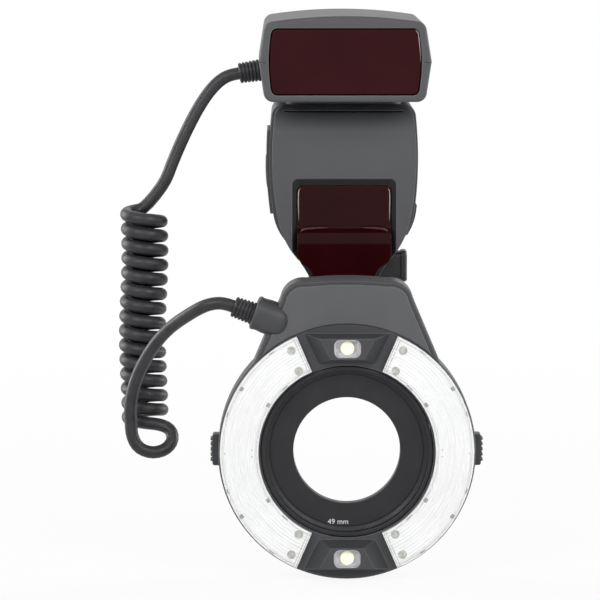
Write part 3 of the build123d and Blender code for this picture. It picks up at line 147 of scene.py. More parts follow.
def pale_floor():
    """A plain pale floor that keeps the object's shadow and looks white around it."""
    mesh = bpy.data.meshes.new("floor")
    made = bmesh.new()
    bmesh.ops.create_grid(made, x_segments=2, y_segments=2, size=FLOOR_SIZE)
    made.to_mesh(mesh)
    made.free()
    floor = bpy.data.objects.new("floor", mesh)
    floor.location = (0.0, 0.0, cad_low[2] - FLOOR_DROP)
    bpy.context.scene.collection.objects.link(floor)
    paint = bpy.data.materials.new("floor_paint")
    paint.use_nodes = True
    tree = paint.node_tree
    shader = tree.nodes["Principled BSDF"]
    shader.inputs["Base Color"].default_value = FLOOR_COLOUR
    shader.inputs["Roughness"].default_value = FLOOR_ROUGHNESS
    white_to_the_eye(tree, shader, tree.nodes.new("ShaderNodeEmission"), tree.nodes["Material Output"],
                     floor_white_share(tree))
    mesh.materials.append(paint)


WORLD_STRENGTH = 0.42
ZENITH_FADE = (0.05, 0.85)
ZENITH_SHARE = 0.08


def studio_world():
    """Plain grey light all round, dimmer overhead, white to the eye."""
    world = bpy.data.worlds.new("studio")
    bpy.context.scene.world = world
    world.use_nodes = True
    tree = world.node_tree
    plain = tree.nodes["Background"]
    plain.inputs["Color"].default_value = WHITE
    way = tree.nodes.new("ShaderNodeTexCoord").outputs["Generated"]
    height = tree.nodes.new("ShaderNodeSeparateXYZ")
    tree.links.new(way, height.inputs[0])
    overhead = WORLD_STRENGTH * ZENITH_SHARE
    strength = map_range(tree, height.outputs["Z"], ZENITH_FADE, (WORLD_STRENGTH, overhead))
    tree.links.new(strength, plain.inputs["Strength"])
    white_to_the_eye(tree, plain, tree.nodes.new("ShaderNodeBackground"), tree.nodes["World Output"])


def soft_lamp(name, place, aim, size, power):
    """A rectangular soft box that points at a place."""
    light = bpy.data.lights.new(name, "AREA")
    light.shape = "RECTANGLE"
    light.size, light.size_y = size
    light.energy = power
    lamp = bpy.data.objects.new(name, light)
    lamp.location = place
    lamp.rotation_euler = (Vector(aim) - Vector(place)).to_track_quat("-Z", "Y").to_euler()
    bpy.context.scene.collection.objects.link(lamp)


# A name, a place, an aim, a width with a height, and watts
SOFT_LAMPS = [
    ("left_rim_lamp", (-1.15, 0.45, 0.15), (0, 0, 0), (0.6, 1.5), 18.0),
    ("right_rim_lamp", (1.15, 0.45, 0.15), (0, 0, 0), (0.6, 1.5), 18.0),
    ("front_left_lamp", (-0.85, -1.45, 0.95), (0, 0, 0), (0.9, 1.0), 14.6),
    ("front_right_lamp", (0.9, -1.45, 0.9), (0, 0, 0), (0.9, 1.0), 14.8),
    ("back_lamp", (0.2, 1.3, 0.9), (0, 0, 0.05), (1.2, 0.8), 1.6),
]

pale_floor()
studio_world()
for settings in SOFT_LAMPS:
    soft_lamp(*settings)


# Materials

NOISE_DETAIL = 3.0
NOISE_MIDDLE = (0.3, 0.7)
# The bevel settings below shape the lighter rounded edges, which are part edge wear, part painted edge
# highlight.
BEVEL_SAMPLES = 6
BEVEL_TURN = (0.8, 0.99)
EDGE_RADIUS = 0.45 * MM
# How softly the painted recess shade fades in at its edges.
RECESS_FADE = 0.3 * MM
RECESS_EDGE = 0.1 * MM


class Paint:
    """A node material built step by step on one Principled shader."""

    def __init__(self, name, colour, roughness, **plain):
        self.material = bpy.data.materials.new(name)
        self.material.use_nodes = True
        self.tree = self.material.node_tree
        self.shader = self.tree.nodes["Principled BSDF"]
        self.shader.inputs["Base Color"].default_value = (*colour, 1.0)
        self.shader.inputs["Roughness"].default_value = roughness
        for socket, value in plain.items():
            self.shader.inputs[socket.replace("_", " ")].default_value = value
        self.colour = colour
        self.place = self.tree.nodes.new("ShaderNodeTexCoord").outputs["Object"]
        self.bump = None
        self.tint = None

    def noise(self, size):
        """A noise of the given grain size in metres."""
        made = self.tree.nodes.new("ShaderNodeTexNoise")
        made.inputs["Scale"].default_value = 1 / size
        made.inputs["Detail"].default_value = NOISE_DETAIL
        self.tree.links.new(self.place, made.inputs["Vector"])
        return made.outputs["Fac"]

    def rough(self, size, low, high):
        """Roughness that varies gently."""
        roughness = map_range(self.tree, self.noise(size), NOISE_MIDDLE, (low, high))
        self.tree.links.new(roughness, self.shader.inputs["Roughness"])
        return self

    def grain(self, size, depth, strength=1.0):
        """Fine relief as a bump."""
        made = self.tree.nodes.new("ShaderNodeBump")
        made.inputs["Distance"].default_value = depth
        made.inputs["Strength"].default_value = strength
        self.tree.links.new(self.noise(size), made.inputs["Height"])
        if self.bump:
            self.tree.links.new(self.bump, made.inputs["Normal"])
        self.bump = made.outputs[0]
        self.tree.links.new(self.bump, self.shader.inputs["Normal"])
        return self

    def blend_in(self, factor, colour):
        """A colour laid over those before it where the factor is high."""
        made = self.tree.nodes.new("ShaderNodeMix")
        made.data_type = "RGBA"
        if self.tint:
            self.tree.links.new(self.tint, made.inputs[6])
        else:
            made.inputs[6].default_value = (*self.colour, 1.0)
        made.inputs[7].default_value = (*colour, 1.0)
        self.tree.links.new(factor, made.inputs[0])
        self.tint = made.outputs[2]
        self.tree.links.new(self.tint, self.shader.inputs["Base Color"])
        return self

    def recess_shade(self, face, half_width, top, colour):
        """Painted shade: a darker colour on what lies behind a front face, within a half width and below a
        top.
        """
        axes = self.tree.nodes.new("ShaderNodeSeparateXYZ")
        self.tree.links.new(self.place, axes.inputs[0])
        aside = self.tree.nodes.new("ShaderNodeMath")
        aside.operation = "ABSOLUTE"
        self.tree.links.new(axes.outputs["X"], aside.inputs[0])
        none_to_all = (0.0, 1.0)
        behind = map_range(self.tree, axes.outputs["Y"], (face, face + RECESS_FADE), none_to_all)
        inside = map_range(self.tree, aside.outputs[0], (half_width + RECESS_EDGE, half_width), none_to_all)
        below = map_range(self.tree, axes.outputs["Z"], (top + RECESS_EDGE, top), none_to_all)
        shade_mask = joined(self.tree, "MULTIPLY", joined(self.tree, "MULTIPLY", behind, inside), below)
        return self.blend_in(shade_mask, colour)

    def mottle(self, size, colour):
        """Blotches of a second colour."""
        return self.blend_in(map_range(self.tree, self.noise(size), NOISE_MIDDLE, (0.0, 1.0)), colour)

    def edge_wear_and_highlight(self, colour, share, radius=EDGE_RADIUS):
        """Rounded edges, in a lighter colour up to a share: part edge wear, part painted edge highlight."""
        bevel = self.tree.nodes.new("ShaderNodeBevel")
        bevel.samples = BEVEL_SAMPLES
        bevel.inputs["Radius"].default_value = radius
        turn = self.tree.nodes.new("ShaderNodeVectorMath")
        turn.operation = "DOT_PRODUCT"
        self.tree.links.new(bevel.outputs[0], turn.inputs[0])
        straight = self.tree.nodes.new("ShaderNodeNewGeometry").outputs["Normal"]
        self.tree.links.new(straight, turn.inputs[1])
        self.bump = bevel.outputs[0]
        self.tree.links.new(self.bump, self.shader.inputs["Normal"])
        return self.blend_in(map_range(self.tree, turn.outputs["Value"], BEVEL_TURN, (share, 0.0)), colour)


def lighter(colour, times):
    """A colour times a number, which darkens it when below one."""
    return tuple(min(1.0, part * times) for part in colour)


BODY = (0.088, 0.089, 0.094)
HEAD = (0.050, 0.051, 0.055)
CAP = (0.094, 0.095, 0.099)
BLACK = (0.016, 0.016, 0.017)
# The painted shade's colour for the recess around the lower window, and where that recess lies.
RECESS_SHADE = (0.022, 0.0215, 0.0225)
RECESS_FACE = -29.8 * MM
RECESS_HALF_WIDTH = 22.6 * MM
RECESS_TOP = 56.2 * MM


def body_paint(name, shade_around_window=False):
    """The satin plastic of the body, with painted shade in the recess around the lower window where asked."""
    made = Paint(name, BODY, 0.52, Specular_IOR_Level=0.25).mottle(18 * MM, lighter(BODY, 0.93))
    if shade_around_window:
        made.recess_shade(RECESS_FACE, RECESS_HALF_WIDTH, RECESS_TOP, RECESS_SHADE)
    made.edge_wear_and_highlight(lighter(BODY, 3.4), 0.85, 0.55 * MM)
    return made.rough(24 * MM, 0.5, 0.54).grain(0.16 * MM, 0.02 * MM, 0.55)


# A Paint takes a colour, a roughness and values for other sockets. mottle takes a size and a second colour,
# the step that lightens edges a colour, a share and a radius, rough a size and two bounds, and grain a size,
# a depth and a strength. The lighter edges are part edge wear, part painted edge highlight.
paints = {
    "body_plastic": body_paint("body_satin"),
    "cover": body_paint("cover_satin_recess_shade", shade_around_window=True),
    "head_plastic": Paint("head_satin", HEAD, 0.44, Specular_IOR_Level=0.35)
    .mottle(14 * MM, lighter(HEAD, 0.92)).edge_wear_and_highlight(lighter(HEAD, 3.4), 0.85, 0.55 * MM)
    .rough(20 * MM, 0.46, 0.52).grain(0.16 * MM, 0.02 * MM, 0.55),
    "cap": Paint("cap_satin", CAP, 0.5, Specular_IOR_Level=0.35)
    .mottle(14 * MM, lighter(CAP, 0.93)).edge_wear_and_highlight(lighter(CAP, 2.6), 0.75, 0.5 * MM)
    .rough(20 * MM, 0.5, 0.56).grain(0.14 * MM, 0.02 * MM, 0.5),
    "foot_plastic": Paint("foot_black", BLACK, 0.4)
    .mottle(8 * MM, lighter(BLACK, 1.5)).edge_wear_and_highlight(lighter(BLACK, 5.0), 0.5)
    .rough(3 * MM, 0.34, 0.46).grain(0.14 * MM, 0.015 * MM, 0.5),
    "red_window": Paint("red_window", (0.032, 0.0016, 0.0034), 0.08, Specular_IOR_Level=0.12)
    .mottle(26 * MM, (0.024, 0.0012, 0.0024)).edge_wear_and_highlight((0.12, 0.05, 0.045), 0.5, 0.6 * MM)
    .rough(9 * MM, 0.06, 0.12),
    # The lower window's red: a darker copy of the red window paint, painted shade for the window that sits in
    # the recess.
    "red_low_shaded": Paint("red_window_low_shaded", (0.026, 0.0016, 0.003), 0.1, Specular_IOR_Level=0.11)
    .mottle(22 * MM, (0.018, 0.0013, 0.0022)).edge_wear_and_highlight((0.1, 0.045, 0.042), 0.5, 0.6 * MM)
    .rough(9 * MM, 0.08, 0.14),
    # A light red that paints the highlight along the crest of the lower window's bulge.
    "crest": Paint("red_crest", (0.055, 0.017, 0.021), 0.4, Specular_IOR_Level=0.3)
    .mottle(4 * MM, (0.04, 0.011, 0.014)).rough(4 * MM, 0.25, 0.38),
    "key_rubber": Paint("key_rubber", (0.035, 0.035, 0.037), 0.62)
    .mottle(3 * MM, (0.05, 0.05, 0.052)).edge_wear_and_highlight((0.12, 0.12, 0.12), 0.5)
    .rough(2 * MM, 0.55, 0.7).grain(0.1 * MM, 0.012 * MM, 0.6),
    "dial_plastic": Paint("dial_black", (0.02, 0.02, 0.021), 0.34)
    .mottle(4 * MM, (0.028, 0.028, 0.03)).edge_wear_and_highlight((0.16, 0.16, 0.16), 0.6)
    .rough(2 * MM, 0.28, 0.4).grain(0.1 * MM, 0.01 * MM, 0.5),
    "cord_rubber": Paint("cord_rubber", (0.020, 0.020, 0.022), 0.42, Specular_IOR_Level=0.3)
    .mottle(6 * MM, (0.034, 0.034, 0.037)).rough(3 * MM, 0.34, 0.48).grain(0.22 * MM, 0.02 * MM, 0.5),
    "clear_window": Paint("clear_moulding", (0.985, 0.985, 0.985), 0.16, Transmission_Weight=0.12, IOR=1.49)
    .mottle(6 * MM, (0.95, 0.955, 0.96)).rough(4 * MM, 0.1, 0.24),
    "boss": Paint("boss_grey", (0.40, 0.40, 0.37), 0.3, Transmission_Weight=0.1, IOR=1.49)
    .mottle(1.4 * MM, (0.68, 0.68, 0.64)).rough(2 * MM, 0.2, 0.36),
    "clip": Paint("clip_grey", (0.22, 0.22, 0.22), 0.4)
    .mottle(0.7 * MM, (0.42, 0.42, 0.42)).rough(1 * MM, 0.3, 0.5),
    "cup": Paint("lamp_cup", (0.52, 0.50, 0.55), 0.4)
    .mottle(5 * MM, (0.66, 0.65, 0.68)).rough(2 * MM, 0.3, 0.5),
    "rim": Paint("lens_rim", (0.72, 0.73, 0.74), 0.2, Transmission_Weight=0.2, IOR=1.49)
    .mottle(2 * MM, (0.62, 0.63, 0.65)).rough(2 * MM, 0.14, 0.26),
    # A light pink-grey that paints the glint along the windows' rounded edges.
    "bead": Paint("bead_light", (0.42, 0.34, 0.33), 0.18)
    .mottle(6 * MM, (0.5, 0.44, 0.43)).rough(2 * MM, 0.14, 0.24),
    "screw": Paint("screw_black", (0.05, 0.05, 0.052), 0.32, Metallic=0.8)
    .mottle(1 * MM, (0.08, 0.08, 0.082)).rough(0.6 * MM, 0.24, 0.42),
    "seam": Paint("seam_dark", (0.008, 0.008, 0.009), 0.6)
    .mottle(2 * MM, (0.012, 0.012, 0.013)).rough(1 * MM, 0.5, 0.7),
    "lens": Paint("lamp_lens", (1.0, 1.0, 1.0), 0.03, Transmission_Weight=1.0, IOR=1.12)
    .mottle(3 * MM, (0.94, 0.95, 0.96)).rough(2 * MM, 0.03, 0.08),
    "xenon_glass": Paint("tube_glass", (0.96, 0.95, 0.9), 0.08, Transmission_Weight=0.5, IOR=1.47)
    .mottle(8 * MM, (0.9, 0.88, 0.82)).rough(5 * MM, 0.05, 0.12),
    "reflector_metal": Paint("reflector_bright", (0.93, 0.93, 0.93), 0.5, Specular_IOR_Level=0.8)
    .mottle(3 * MM, (0.86, 0.86, 0.87)).rough(2 * MM, 0.35, 0.55),
    # The phosphor glows faintly though the lamp is off: painted light that makes up for the shade under its
    # lens.
    "led_yellow": Paint("lamp_phosphor_painted_glow", (0.94, 0.9, 0.62), 0.5, Emission_Color=(1.0, 0.97, 0.72, 1.0),
                  Emission_Strength=0.22)
    .mottle(1.2 * MM, (0.98, 0.96, 0.78)).grain(0.1 * MM, 0.01 * MM),
    "adapter_metal": Paint("adapter_black", (0.013, 0.013, 0.015), 0.42, Specular_IOR_Level=0.3)
    .mottle(10 * MM, (0.018, 0.018, 0.02)).edge_wear_and_highlight((0.11, 0.11, 0.12), 0.5)
    .rough(4 * MM, 0.38, 0.52).grain(0.12 * MM, 0.012 * MM, 0.5),
    "steel": Paint("bright_steel", (0.6, 0.6, 0.62), 0.28, Metallic=1.0)
    .mottle(1 * MM, (0.5, 0.5, 0.52)).rough(1 * MM, 0.2, 0.36),
    "contact_brass": Paint("plated_brass", (0.75, 0.6, 0.3), 0.28, Metallic=1.0)
    .mottle(1 * MM, (0.62, 0.48, 0.24)).rough(1 * MM, 0.2, 0.36),
    "cell_jacket": Paint("cell_jacket", (0.22, 0.24, 0.27), 0.34)
    .mottle(10 * MM, (0.16, 0.18, 0.2)).rough(4 * MM, 0.28, 0.4),
    "capacitor_can": Paint("capacitor_sleeve", (0.05, 0.05, 0.07), 0.34)
    .mottle(10 * MM, (0.08, 0.08, 0.1)).rough(4 * MM, 0.28, 0.4),
    "board_green": Paint("board_green", (0.03, 0.15, 0.07), 0.34)
    .mottle(1.5 * MM, (0.05, 0.22, 0.1)).rough(2 * MM, 0.28, 0.4),
    "inner_plastic": Paint("inner_black", (0.03, 0.03, 0.033), 0.5)
    .mottle(8 * MM, (0.04, 0.04, 0.043)).rough(3 * MM, 0.42, 0.56).grain(0.14 * MM, 0.015 * MM, 0.5),
    "lcd_glass": Paint("lcd_glass", (0.9, 0.93, 0.9), 0.05, Transmission_Weight=0.92, IOR=1.5)
    .mottle(10 * MM, (0.86, 0.9, 0.87)).rough(6 * MM, 0.04, 0.08),
    "lcd_grey": Paint("lcd_grey", (0.33, 0.37, 0.3), 0.4)
    .mottle(9 * MM, (0.29, 0.33, 0.27)).rough(6 * MM, 0.34, 0.46),
    "lamp_red": Paint("lamp_red", (0.32, 0.012, 0.012), 0.22, Transmission_Weight=0.2)
    .mottle(2 * MM, (0.22, 0.008, 0.008)).rough(2 * MM, 0.16, 0.28),
    "mark": Paint("mark_white", (0.78, 0.78, 0.78), 0.5)
    .mottle(1 * MM, (0.66, 0.66, 0.66)).rough(1 * MM, 0.45, 0.6),
    "ink": Paint("segment_ink", (0.02, 0.025, 0.02), 0.4)
    .mottle(2 * MM, (0.035, 0.04, 0.03)).rough(1 * MM, 0.34, 0.5),
}

# The front cover carries the painted recess shade, and the lower window the darker, shaded copy of the red.
NODE_PAINTS = {"cap_plate": "cap", "lamp_lenses": "lens", "front_cover": "cover", "lower_window": "red_low_shaded"}


def imported_slot(node):
    """The record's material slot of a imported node, from the name of its imported material."""
    return node.material_slots[0].material.name.split(".")[0]


for name, node in nodes.items():
    paint = NODE_PAINTS.get(name, imported_slot(node))
    for held in node.material_slots:
        held.material = paints[paint].material


# The cord: from the box boot down, round the curls, through the wide loop and up to the head boot

CORD_DIAMETER = 5.4 * MM
CORD_ROUND = 5
CORD_STEPS = 3
CORD_ORDER = 3
BOX_BOOT_TIP = (-45.13, -30.0, 101.22)
BOX_LEAD = (-49.08, -30.0, 100.62)
UPPER_ROUTE = [
    (-53.2, -30.1, 98.3), (-56.8, -30.4, 94.8), (-60.4, -30.8, 90.0), (-64.0, -31.4, 84.0),
    (-67.6, -32.3, 77.0), (-71.0, -33.3, 69.6), (-74.2, -34.4, 62.0), (-77.0, -35.4, 54.4),
]
COIL_TURNS = 14.5
COIL_RADIUS = 7.45
COIL_TOP = 43.4
COIL_X = -85.9
COIL_Y = -43.0
COIL_PITCH = 6.24
COIL_SWAY = 0.55
COIL_SWAY_WAVES = 1.25
COIL_DRIFT = -0.3
TURN_POINTS = 12
LOOP_ROUTE = [
    (-78.6, -51.2, -47.7), (-74.2, -53.2, -49.6), (-73.2, -56.2, -53.8), (-76.4, -58.8, -57.6),
    (-82.4, -60.4, -58.8), (-88.2, -60.9, -56.4), (-90.8, -60.6, -51.2),
]
LOWER_ROUTE = [
    (-91.1, -61.0, -45.5), (-91.4, -61.8, -38.6), (-90.2, -62.9, -31.2), (-87.7, -64.6, -23.8),
    (-84.2, -67.0, -16.8), (-80.2, -70.2, -10.4), (-76.0, -74.0, -5.2), (-71.8, -78.0, -1.2),
    (-67.6, -81.8, 2.0), (-63.5, -85.0, 4.9), (-59.4, -87.3, 7.3), (-55.2, -88.6, 8.6),
]
HEAD_LEAD = (-50.95, -88.9, 8.62)
HEAD_BOOT_TIP = (-47.19, -88.9, 7.26)


def curl_points():
    """The curls, as control points outside a circle around a gently swaying axis."""
    reach = COIL_RADIUS / math.cos(math.pi / TURN_POINTS)
    steps = int(COIL_TURNS * TURN_POINTS)
    points = []
    for step in range(steps + 1):
        share = step / steps
        angle = TAU / 4 + TAU * step / TURN_POINTS
        middle = COIL_X + COIL_SWAY * math.sin(TAU * COIL_SWAY_WAVES * share) + COIL_DRIFT * share
        points.append((
            middle + reach * math.cos(angle),
            COIL_Y + reach * math.sin(angle),
            COIL_TOP - COIL_PITCH * step / TURN_POINTS,
        ))
    return points


def mesh_of(guide):
    """The mesh that Blender makes from a curve as it now is."""
    bpy.context.view_layer.update()
    shown = guide.evaluated_get(bpy.context.evaluated_depsgraph_get())
    return bpy.data.meshes.new_from_object(shown)


def curly_cord():
    """One unbroken cord from the box boot through the curls to the head boot."""
    route = [BOX_BOOT_TIP, BOX_LEAD, *UPPER_ROUTE, *curl_points(), *LOOP_ROUTE, *LOWER_ROUTE,
             HEAD_LEAD, HEAD_BOOT_TIP]
    line = bpy.data.curves.new("cord_line", "CURVE")
    line.dimensions = "3D"
    line.bevel_resolution = CORD_ROUND
    line.resolution_u = CORD_STEPS
    line.use_fill_caps = True
    spline = line.splines.new("NURBS")
    spline.points.add(len(route) - 1)
    for point, place in zip(spline.points, route):
        point.co = (*(part * MM for part in place), 1.0)
    spline.order_u = CORD_ORDER
    spline.use_endpoint_u = True
    guide = bpy.data.objects.new("cord_guide", line)
    bpy.context.scene.collection.objects.link(guide)
    middle_line = mesh_of(guide)
    line.bevel_depth = CORD_DIAMETER / 2
    tube = mesh_of(guide)
    tube.name = "curly_cord"
    for face in tube.polygons:
        face.use_smooth = len(face.vertices) == 4
    tube.materials.clear()
    tube.materials.append(paints["cord_rubber"].material)
    cord = bpy.data.objects.new("curly_cord", tube)
    bpy.context.scene.collection.objects.link(cord)
    bpy.data.objects.remove(guide)
    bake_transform(cord)
    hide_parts("cord_upper", "cord_coil", "cord_lower")


curly_cord()


# Mesh tools

RING_Z = -53.0
MERGE_DISTANCE = 1e-7


def at(x, y, z):
    """A point given in millimetres, in metres."""
    return Vector((x * MM, y * MM, z * MM))


def show(name, made, body, slot, paint=None, replaces=(), crease=32.0):
    """Turn a bmesh into a piece that rides on a body, in its slot's paint where no other is given."""
    mesh = bpy.data.meshes.new(name)
    bmesh.ops.remove_doubles(made, verts=made.verts, dist=MERGE_DISTANCE)
    bmesh.ops.recalc_face_normals(made, faces=made.faces)
    made.to_mesh(mesh)
    made.free()
    mesh.polygons.foreach_set("use_smooth", [True] * len(mesh.polygons))
    mesh.set_sharp_from_angle(angle=math.radians(crease))
    mesh.materials.append(paints[paint or slot].material)
    made_piece = bpy.data.objects.new(name, mesh)
    bpy.context.scene.collection.objects.link(made_piece)
    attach(made_piece, body)
    if replaces:
        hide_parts(*replaces)


def strip(made, rows, closed_rows=False, caps=False):
    """Quads between closed rows of points. The last row may join the first, or both may be capped."""
    lines = [[made.verts.new(point) for point in row] for row in rows]
    pairs = list(zip(lines, lines[1:]))
    if closed_rows:
        pairs.append((lines[-1], lines[0]))
    count = len(lines[0])
    for one, two in pairs:
        for index in range(count):
            after = (index + 1) % count
            made.faces.new((one[index], one[after], two[after], two[index]))
    if caps:
        made.faces.new(lines[0])
        made.faces.new(reversed(lines[-1]))
    return lines


def ring_point(radius, y, angle):
    """A point around the ring's axis, the angle counted from straight up."""
    return at(radius * math.sin(angle), y, RING_Z + radius * math.cos(angle))


def turned(profile, steps):
    """A full turn of a closed (radius, y) profile around the ring's axis."""
    made = bmesh.new()
    angles = [TAU * step / steps for step in range(steps)]
    rows = [[ring_point(radius, y, angle) for radius, y in profile] for angle in angles]
    strip(made, rows, closed_rows=True)
    return made


def prism(made, outline, place):
    """A closed prism: outline points at two levels, each turned into a place by a function."""
    low = [place(u, v, 0) for u, v in outline]
    high = [place(u, v, 1) for u, v in outline]
    strip(made, [low, high], caps=True)


def rounded(half_u, half_v, corner, steps=6):
    """A rectangle with round corners, as points."""
    points = []
    for turn, (su, sv) in enumerate(((1, 1), (-1, 1), (-1, -1), (1, -1))):
        for step in range(steps + 1):
            angle = TAU / 4 * (turn + step / steps)
            points.append((su * (half_u - corner) + corner * math.cos(angle),
                           sv * (half_v - corner) + corner * math.sin(angle)))
    return points


LETTER_RISE = 0.04
LETTER_STEPS = 4
FRONT_TURN = (90, 0, 0)
REAR_TURN = (90, 180, 0)


def label(name, text, size, place, turn, body, slot, paint="mark"):
    """Plain raised characters, turned by Euler angles in degrees."""
    letters = bpy.data.curves.new(name + "_letters", "FONT")
    letters.body = text
    letters.size = size * MM
    letters.extrude = LETTER_RISE * MM
    letters.align_x = "CENTER"
    letters.align_y = "CENTER"
    letters.resolution_u = LETTER_STEPS
    draft = bpy.data.objects.new(name + "_draft", letters)
    bpy.context.scene.collection.objects.link(draft)
    bpy.context.view_layer.update()
    mesh = bpy.data.meshes.new_from_object(draft)
    bpy.data.objects.remove(draft)
    made = bmesh.new()
    made.from_mesh(mesh)
    bpy.data.meshes.remove(mesh)
    spin = Matrix.Translation(at(*place))
    for angle, axis in zip(turn, "XYZ"):
        spin = spin @ Matrix.Rotation(math.radians(angle), 4, axis)
    bmesh.ops.transform(made, matrix=spin, verts=made.verts)
    show(name, made, body, slot, paint)


# Ring head: ribbed windows, clips, lamps and adapter

WINDOW_INNER = 36.9
WINDOW_OUTER = 52.9
WINDOW_END = math.radians(23.4)
WINDOW_BACK = -95.0
WINDOW_FRONT = -98.0
WINDOW_STEPS = 132
WINDOW_RINGS = 128
RIB_PITCH = 1.3
RIB_DEPTH = 0.3
EDGE_WIDTH = 0.35
EDGE_DROP = 0.25
RIM_WIDTH = 1.5
RIM_GROOVE = 0.28


def window_front(radius):
    """How far the face lies back at a radius: a soft edge, a groove inside each rim, and ribs between."""
    edge = min(radius - WINDOW_INNER, WINDOW_OUTER - radius)
    if edge < EDGE_WIDTH:
        return EDGE_DROP * (1 - edge / EDGE_WIDTH)
    if edge < RIM_WIDTH:
        return RIM_GROOVE * max(0.0, math.sin(TAU * (edge - EDGE_WIDTH) / (RIM_WIDTH - EDGE_WIDTH))) ** 2
    along = (edge - RIM_WIDTH) % RIB_PITCH / RIB_PITCH
    return RIB_DEPTH * (1 - math.sin(TAU / 2 * along) ** 0.5)


def tube_window(side, name, node):
    """A clear moulding with fine round ribs over one flash tube."""
    made = bmesh.new()
    width = WINDOW_OUTER - WINDOW_INNER
    radii = [WINDOW_INNER + width * step / WINDOW_RINGS for step in range(WINDOW_RINGS + 1)]
    front = [(radius, WINDOW_FRONT + window_front(radius)) for radius in radii]
    profile = [*front, (WINDOW_OUTER, WINDOW_BACK), (WINDOW_INNER, WINDOW_BACK)]
    rows = []
    for step in range(WINDOW_STEPS + 1):
        share = step / WINDOW_STEPS
        angle = side * (WINDOW_END + (TAU / 2 - 2 * WINDOW_END) * share)
        rows.append([ring_point(radius, y, angle) for radius, y in profile])
    strip(made, rows, caps=True)
    show(name, made, "ring_head", "clear_window", replaces=(node,), crease=50.0)


tube_window(-1, "right_ribbed_window", "right_tube_window")
tube_window(1, "left_ribbed_window", "left_tube_window")

LINE_FOOT = WINDOW_FRONT + 0.1
LINE_TOP = WINDOW_FRONT - 0.12
END_LINE_OFFSETS = (0.5, 1.5)
END_LINE_HALF = 0.16
END_LINE_INSET = 0.4
END_LINE_STEPS = 8
RIM_LINE_INSET = 1.0
RIM_LINE_FOOT_HALF = 0.11
RIM_LINE_TOP_HALF = 0.05
RIM_LINE_START = WINDOW_END + 0.02
RIM_LINE_STEPS = 90


def end_line(made, upside, way, offset):
    """One raised line across an end of a window."""
    rows = []
    for step in range(END_LINE_STEPS + 1):
        radius = (WINDOW_INNER + END_LINE_INSET
                  + (WINDOW_OUTER - WINDOW_INNER - 2 * END_LINE_INSET) * step / END_LINE_STEPS)
        angle = WINDOW_END + offset / radius
        half = END_LINE_HALF / radius
        rows.append([
            ring_point(radius, LINE_FOOT, upside + way * (angle - half)),
            ring_point(radius, LINE_TOP, upside + way * (angle - half / 2)),
            ring_point(radius, LINE_TOP, upside + way * (angle + half / 2)),
            ring_point(radius, LINE_FOOT, upside + way * (angle + half)),
        ])
    strip(made, rows, caps=True)


def rim_line(made, side, radius):
    """One raised line along a rim of a window."""
    rows = []
    for step in range(RIM_LINE_STEPS + 1):
        angle = side * (RIM_LINE_START + (TAU / 2 - 2 * RIM_LINE_START) * step / RIM_LINE_STEPS)
        rows.append([
            ring_point(radius - RIM_LINE_FOOT_HALF, LINE_FOOT, angle),
            ring_point(radius - RIM_LINE_TOP_HALF, LINE_TOP, angle),
            ring_point(radius + RIM_LINE_TOP_HALF, LINE_TOP, angle),
            ring_point(radius + RIM_LINE_FOOT_HALF, LINE_FOOT, angle),
        ])
    strip(made, rows, caps=True)


def window_lines():
    """The raised double line across each end of the windows, and one along each rim."""
    made = bmesh.new()
    for side in (1, -1):
        for upside, way in ((0, side), (TAU / 2, -side)):
            for offset in END_LINE_OFFSETS:
                end_line(made, upside, way, offset)
        for radius in (WINDOW_OUTER - RIM_LINE_INSET, WINDOW_INNER + RIM_LINE_INSET):
            rim_line(made, side, radius)
    show("window_end_lines", made, "ring_head", "clear_window", "boss")


window_lines()

# Radius and angle from straight up, and a dash's half length. A gate mark has a radius and a drop below
# the middle.
BOSS_PLACES = [(39.7, 30.4), (48.7, 28.4)]
CLIP_PLACES = [(38.4, 58.6), (51.4, 58.6)]
DASH_PLACES = [(37.6, 43.5, 1.5), (52.3, 37.0, 1.3), (52.3, 72.0, 1.1)]
GATE_PLACES = [(39.6, 1.6), (39.6, -1.2), (50.9, 0.4)]
BOSS_SIDES = 28
BOSS_SIZE = 1.8
BOSS_RISE = 0.24
GATE_SIZE = 0.24
GATE_RISE = 0.1
DISC_DEPTH = 0.25
DISC_BEVEL = 0.18
DISC_CORE = 0.02
DISC_STEP_SHARE = 0.4
DISC_RIM_SHARE = 0.62
DISC_HOLLOW_SHARE = 0.55
CLIP_OUTLINE = (0.95, 0.75, 0.2, 3)
CLIP_BACK = WINDOW_FRONT + 0.2
CLIP_THICKNESS = 0.28
CLIP_TAPER = 0.12
DASH_HALF_WIDTH = 0.13
DASH_CORNER = 0.1
DASH_BACK = WINDOW_FRONT + 0.3
DASH_THICKNESS = 0.36


def four_ways(angle):
    """An angle from straight up, mirrored into the four quarters."""
    here = math.radians(angle)
    return (here, -here, TAU / 2 - here, TAU / 2 + here)


def boss_disc(made, radius, angle, size, rise):
    """A low round boss with a soft edge and a hollow top, standing on the window's face."""
    middle = ring_point(radius, 0, angle)
    foot = WINDOW_FRONT + DISC_DEPTH
    low = WINDOW_FRONT - rise * DISC_STEP_SHARE
    top = WINDOW_FRONT - rise
    profile = [(size, foot), (size, low), (size - DISC_BEVEL, top), (size * DISC_RIM_SHARE, top),
               (size * DISC_HOLLOW_SHARE, low), (DISC_CORE, low), (DISC_CORE, foot)]
    rows = []
    for step in range(BOSS_SIDES):
        turn = TAU * step / BOSS_SIDES
        rows.append([middle + at(out * math.sin(turn), y, out * math.cos(turn)) for out, y in profile])
    strip(made, rows, closed_rows=True)


bosses = bmesh.new()
for radius, angle in BOSS_PLACES:
    for way in four_ways(angle):
        boss_disc(bosses, radius, way, BOSS_SIZE, BOSS_RISE)
show("window_bosses", bosses, "ring_head", "clear_window", "boss")

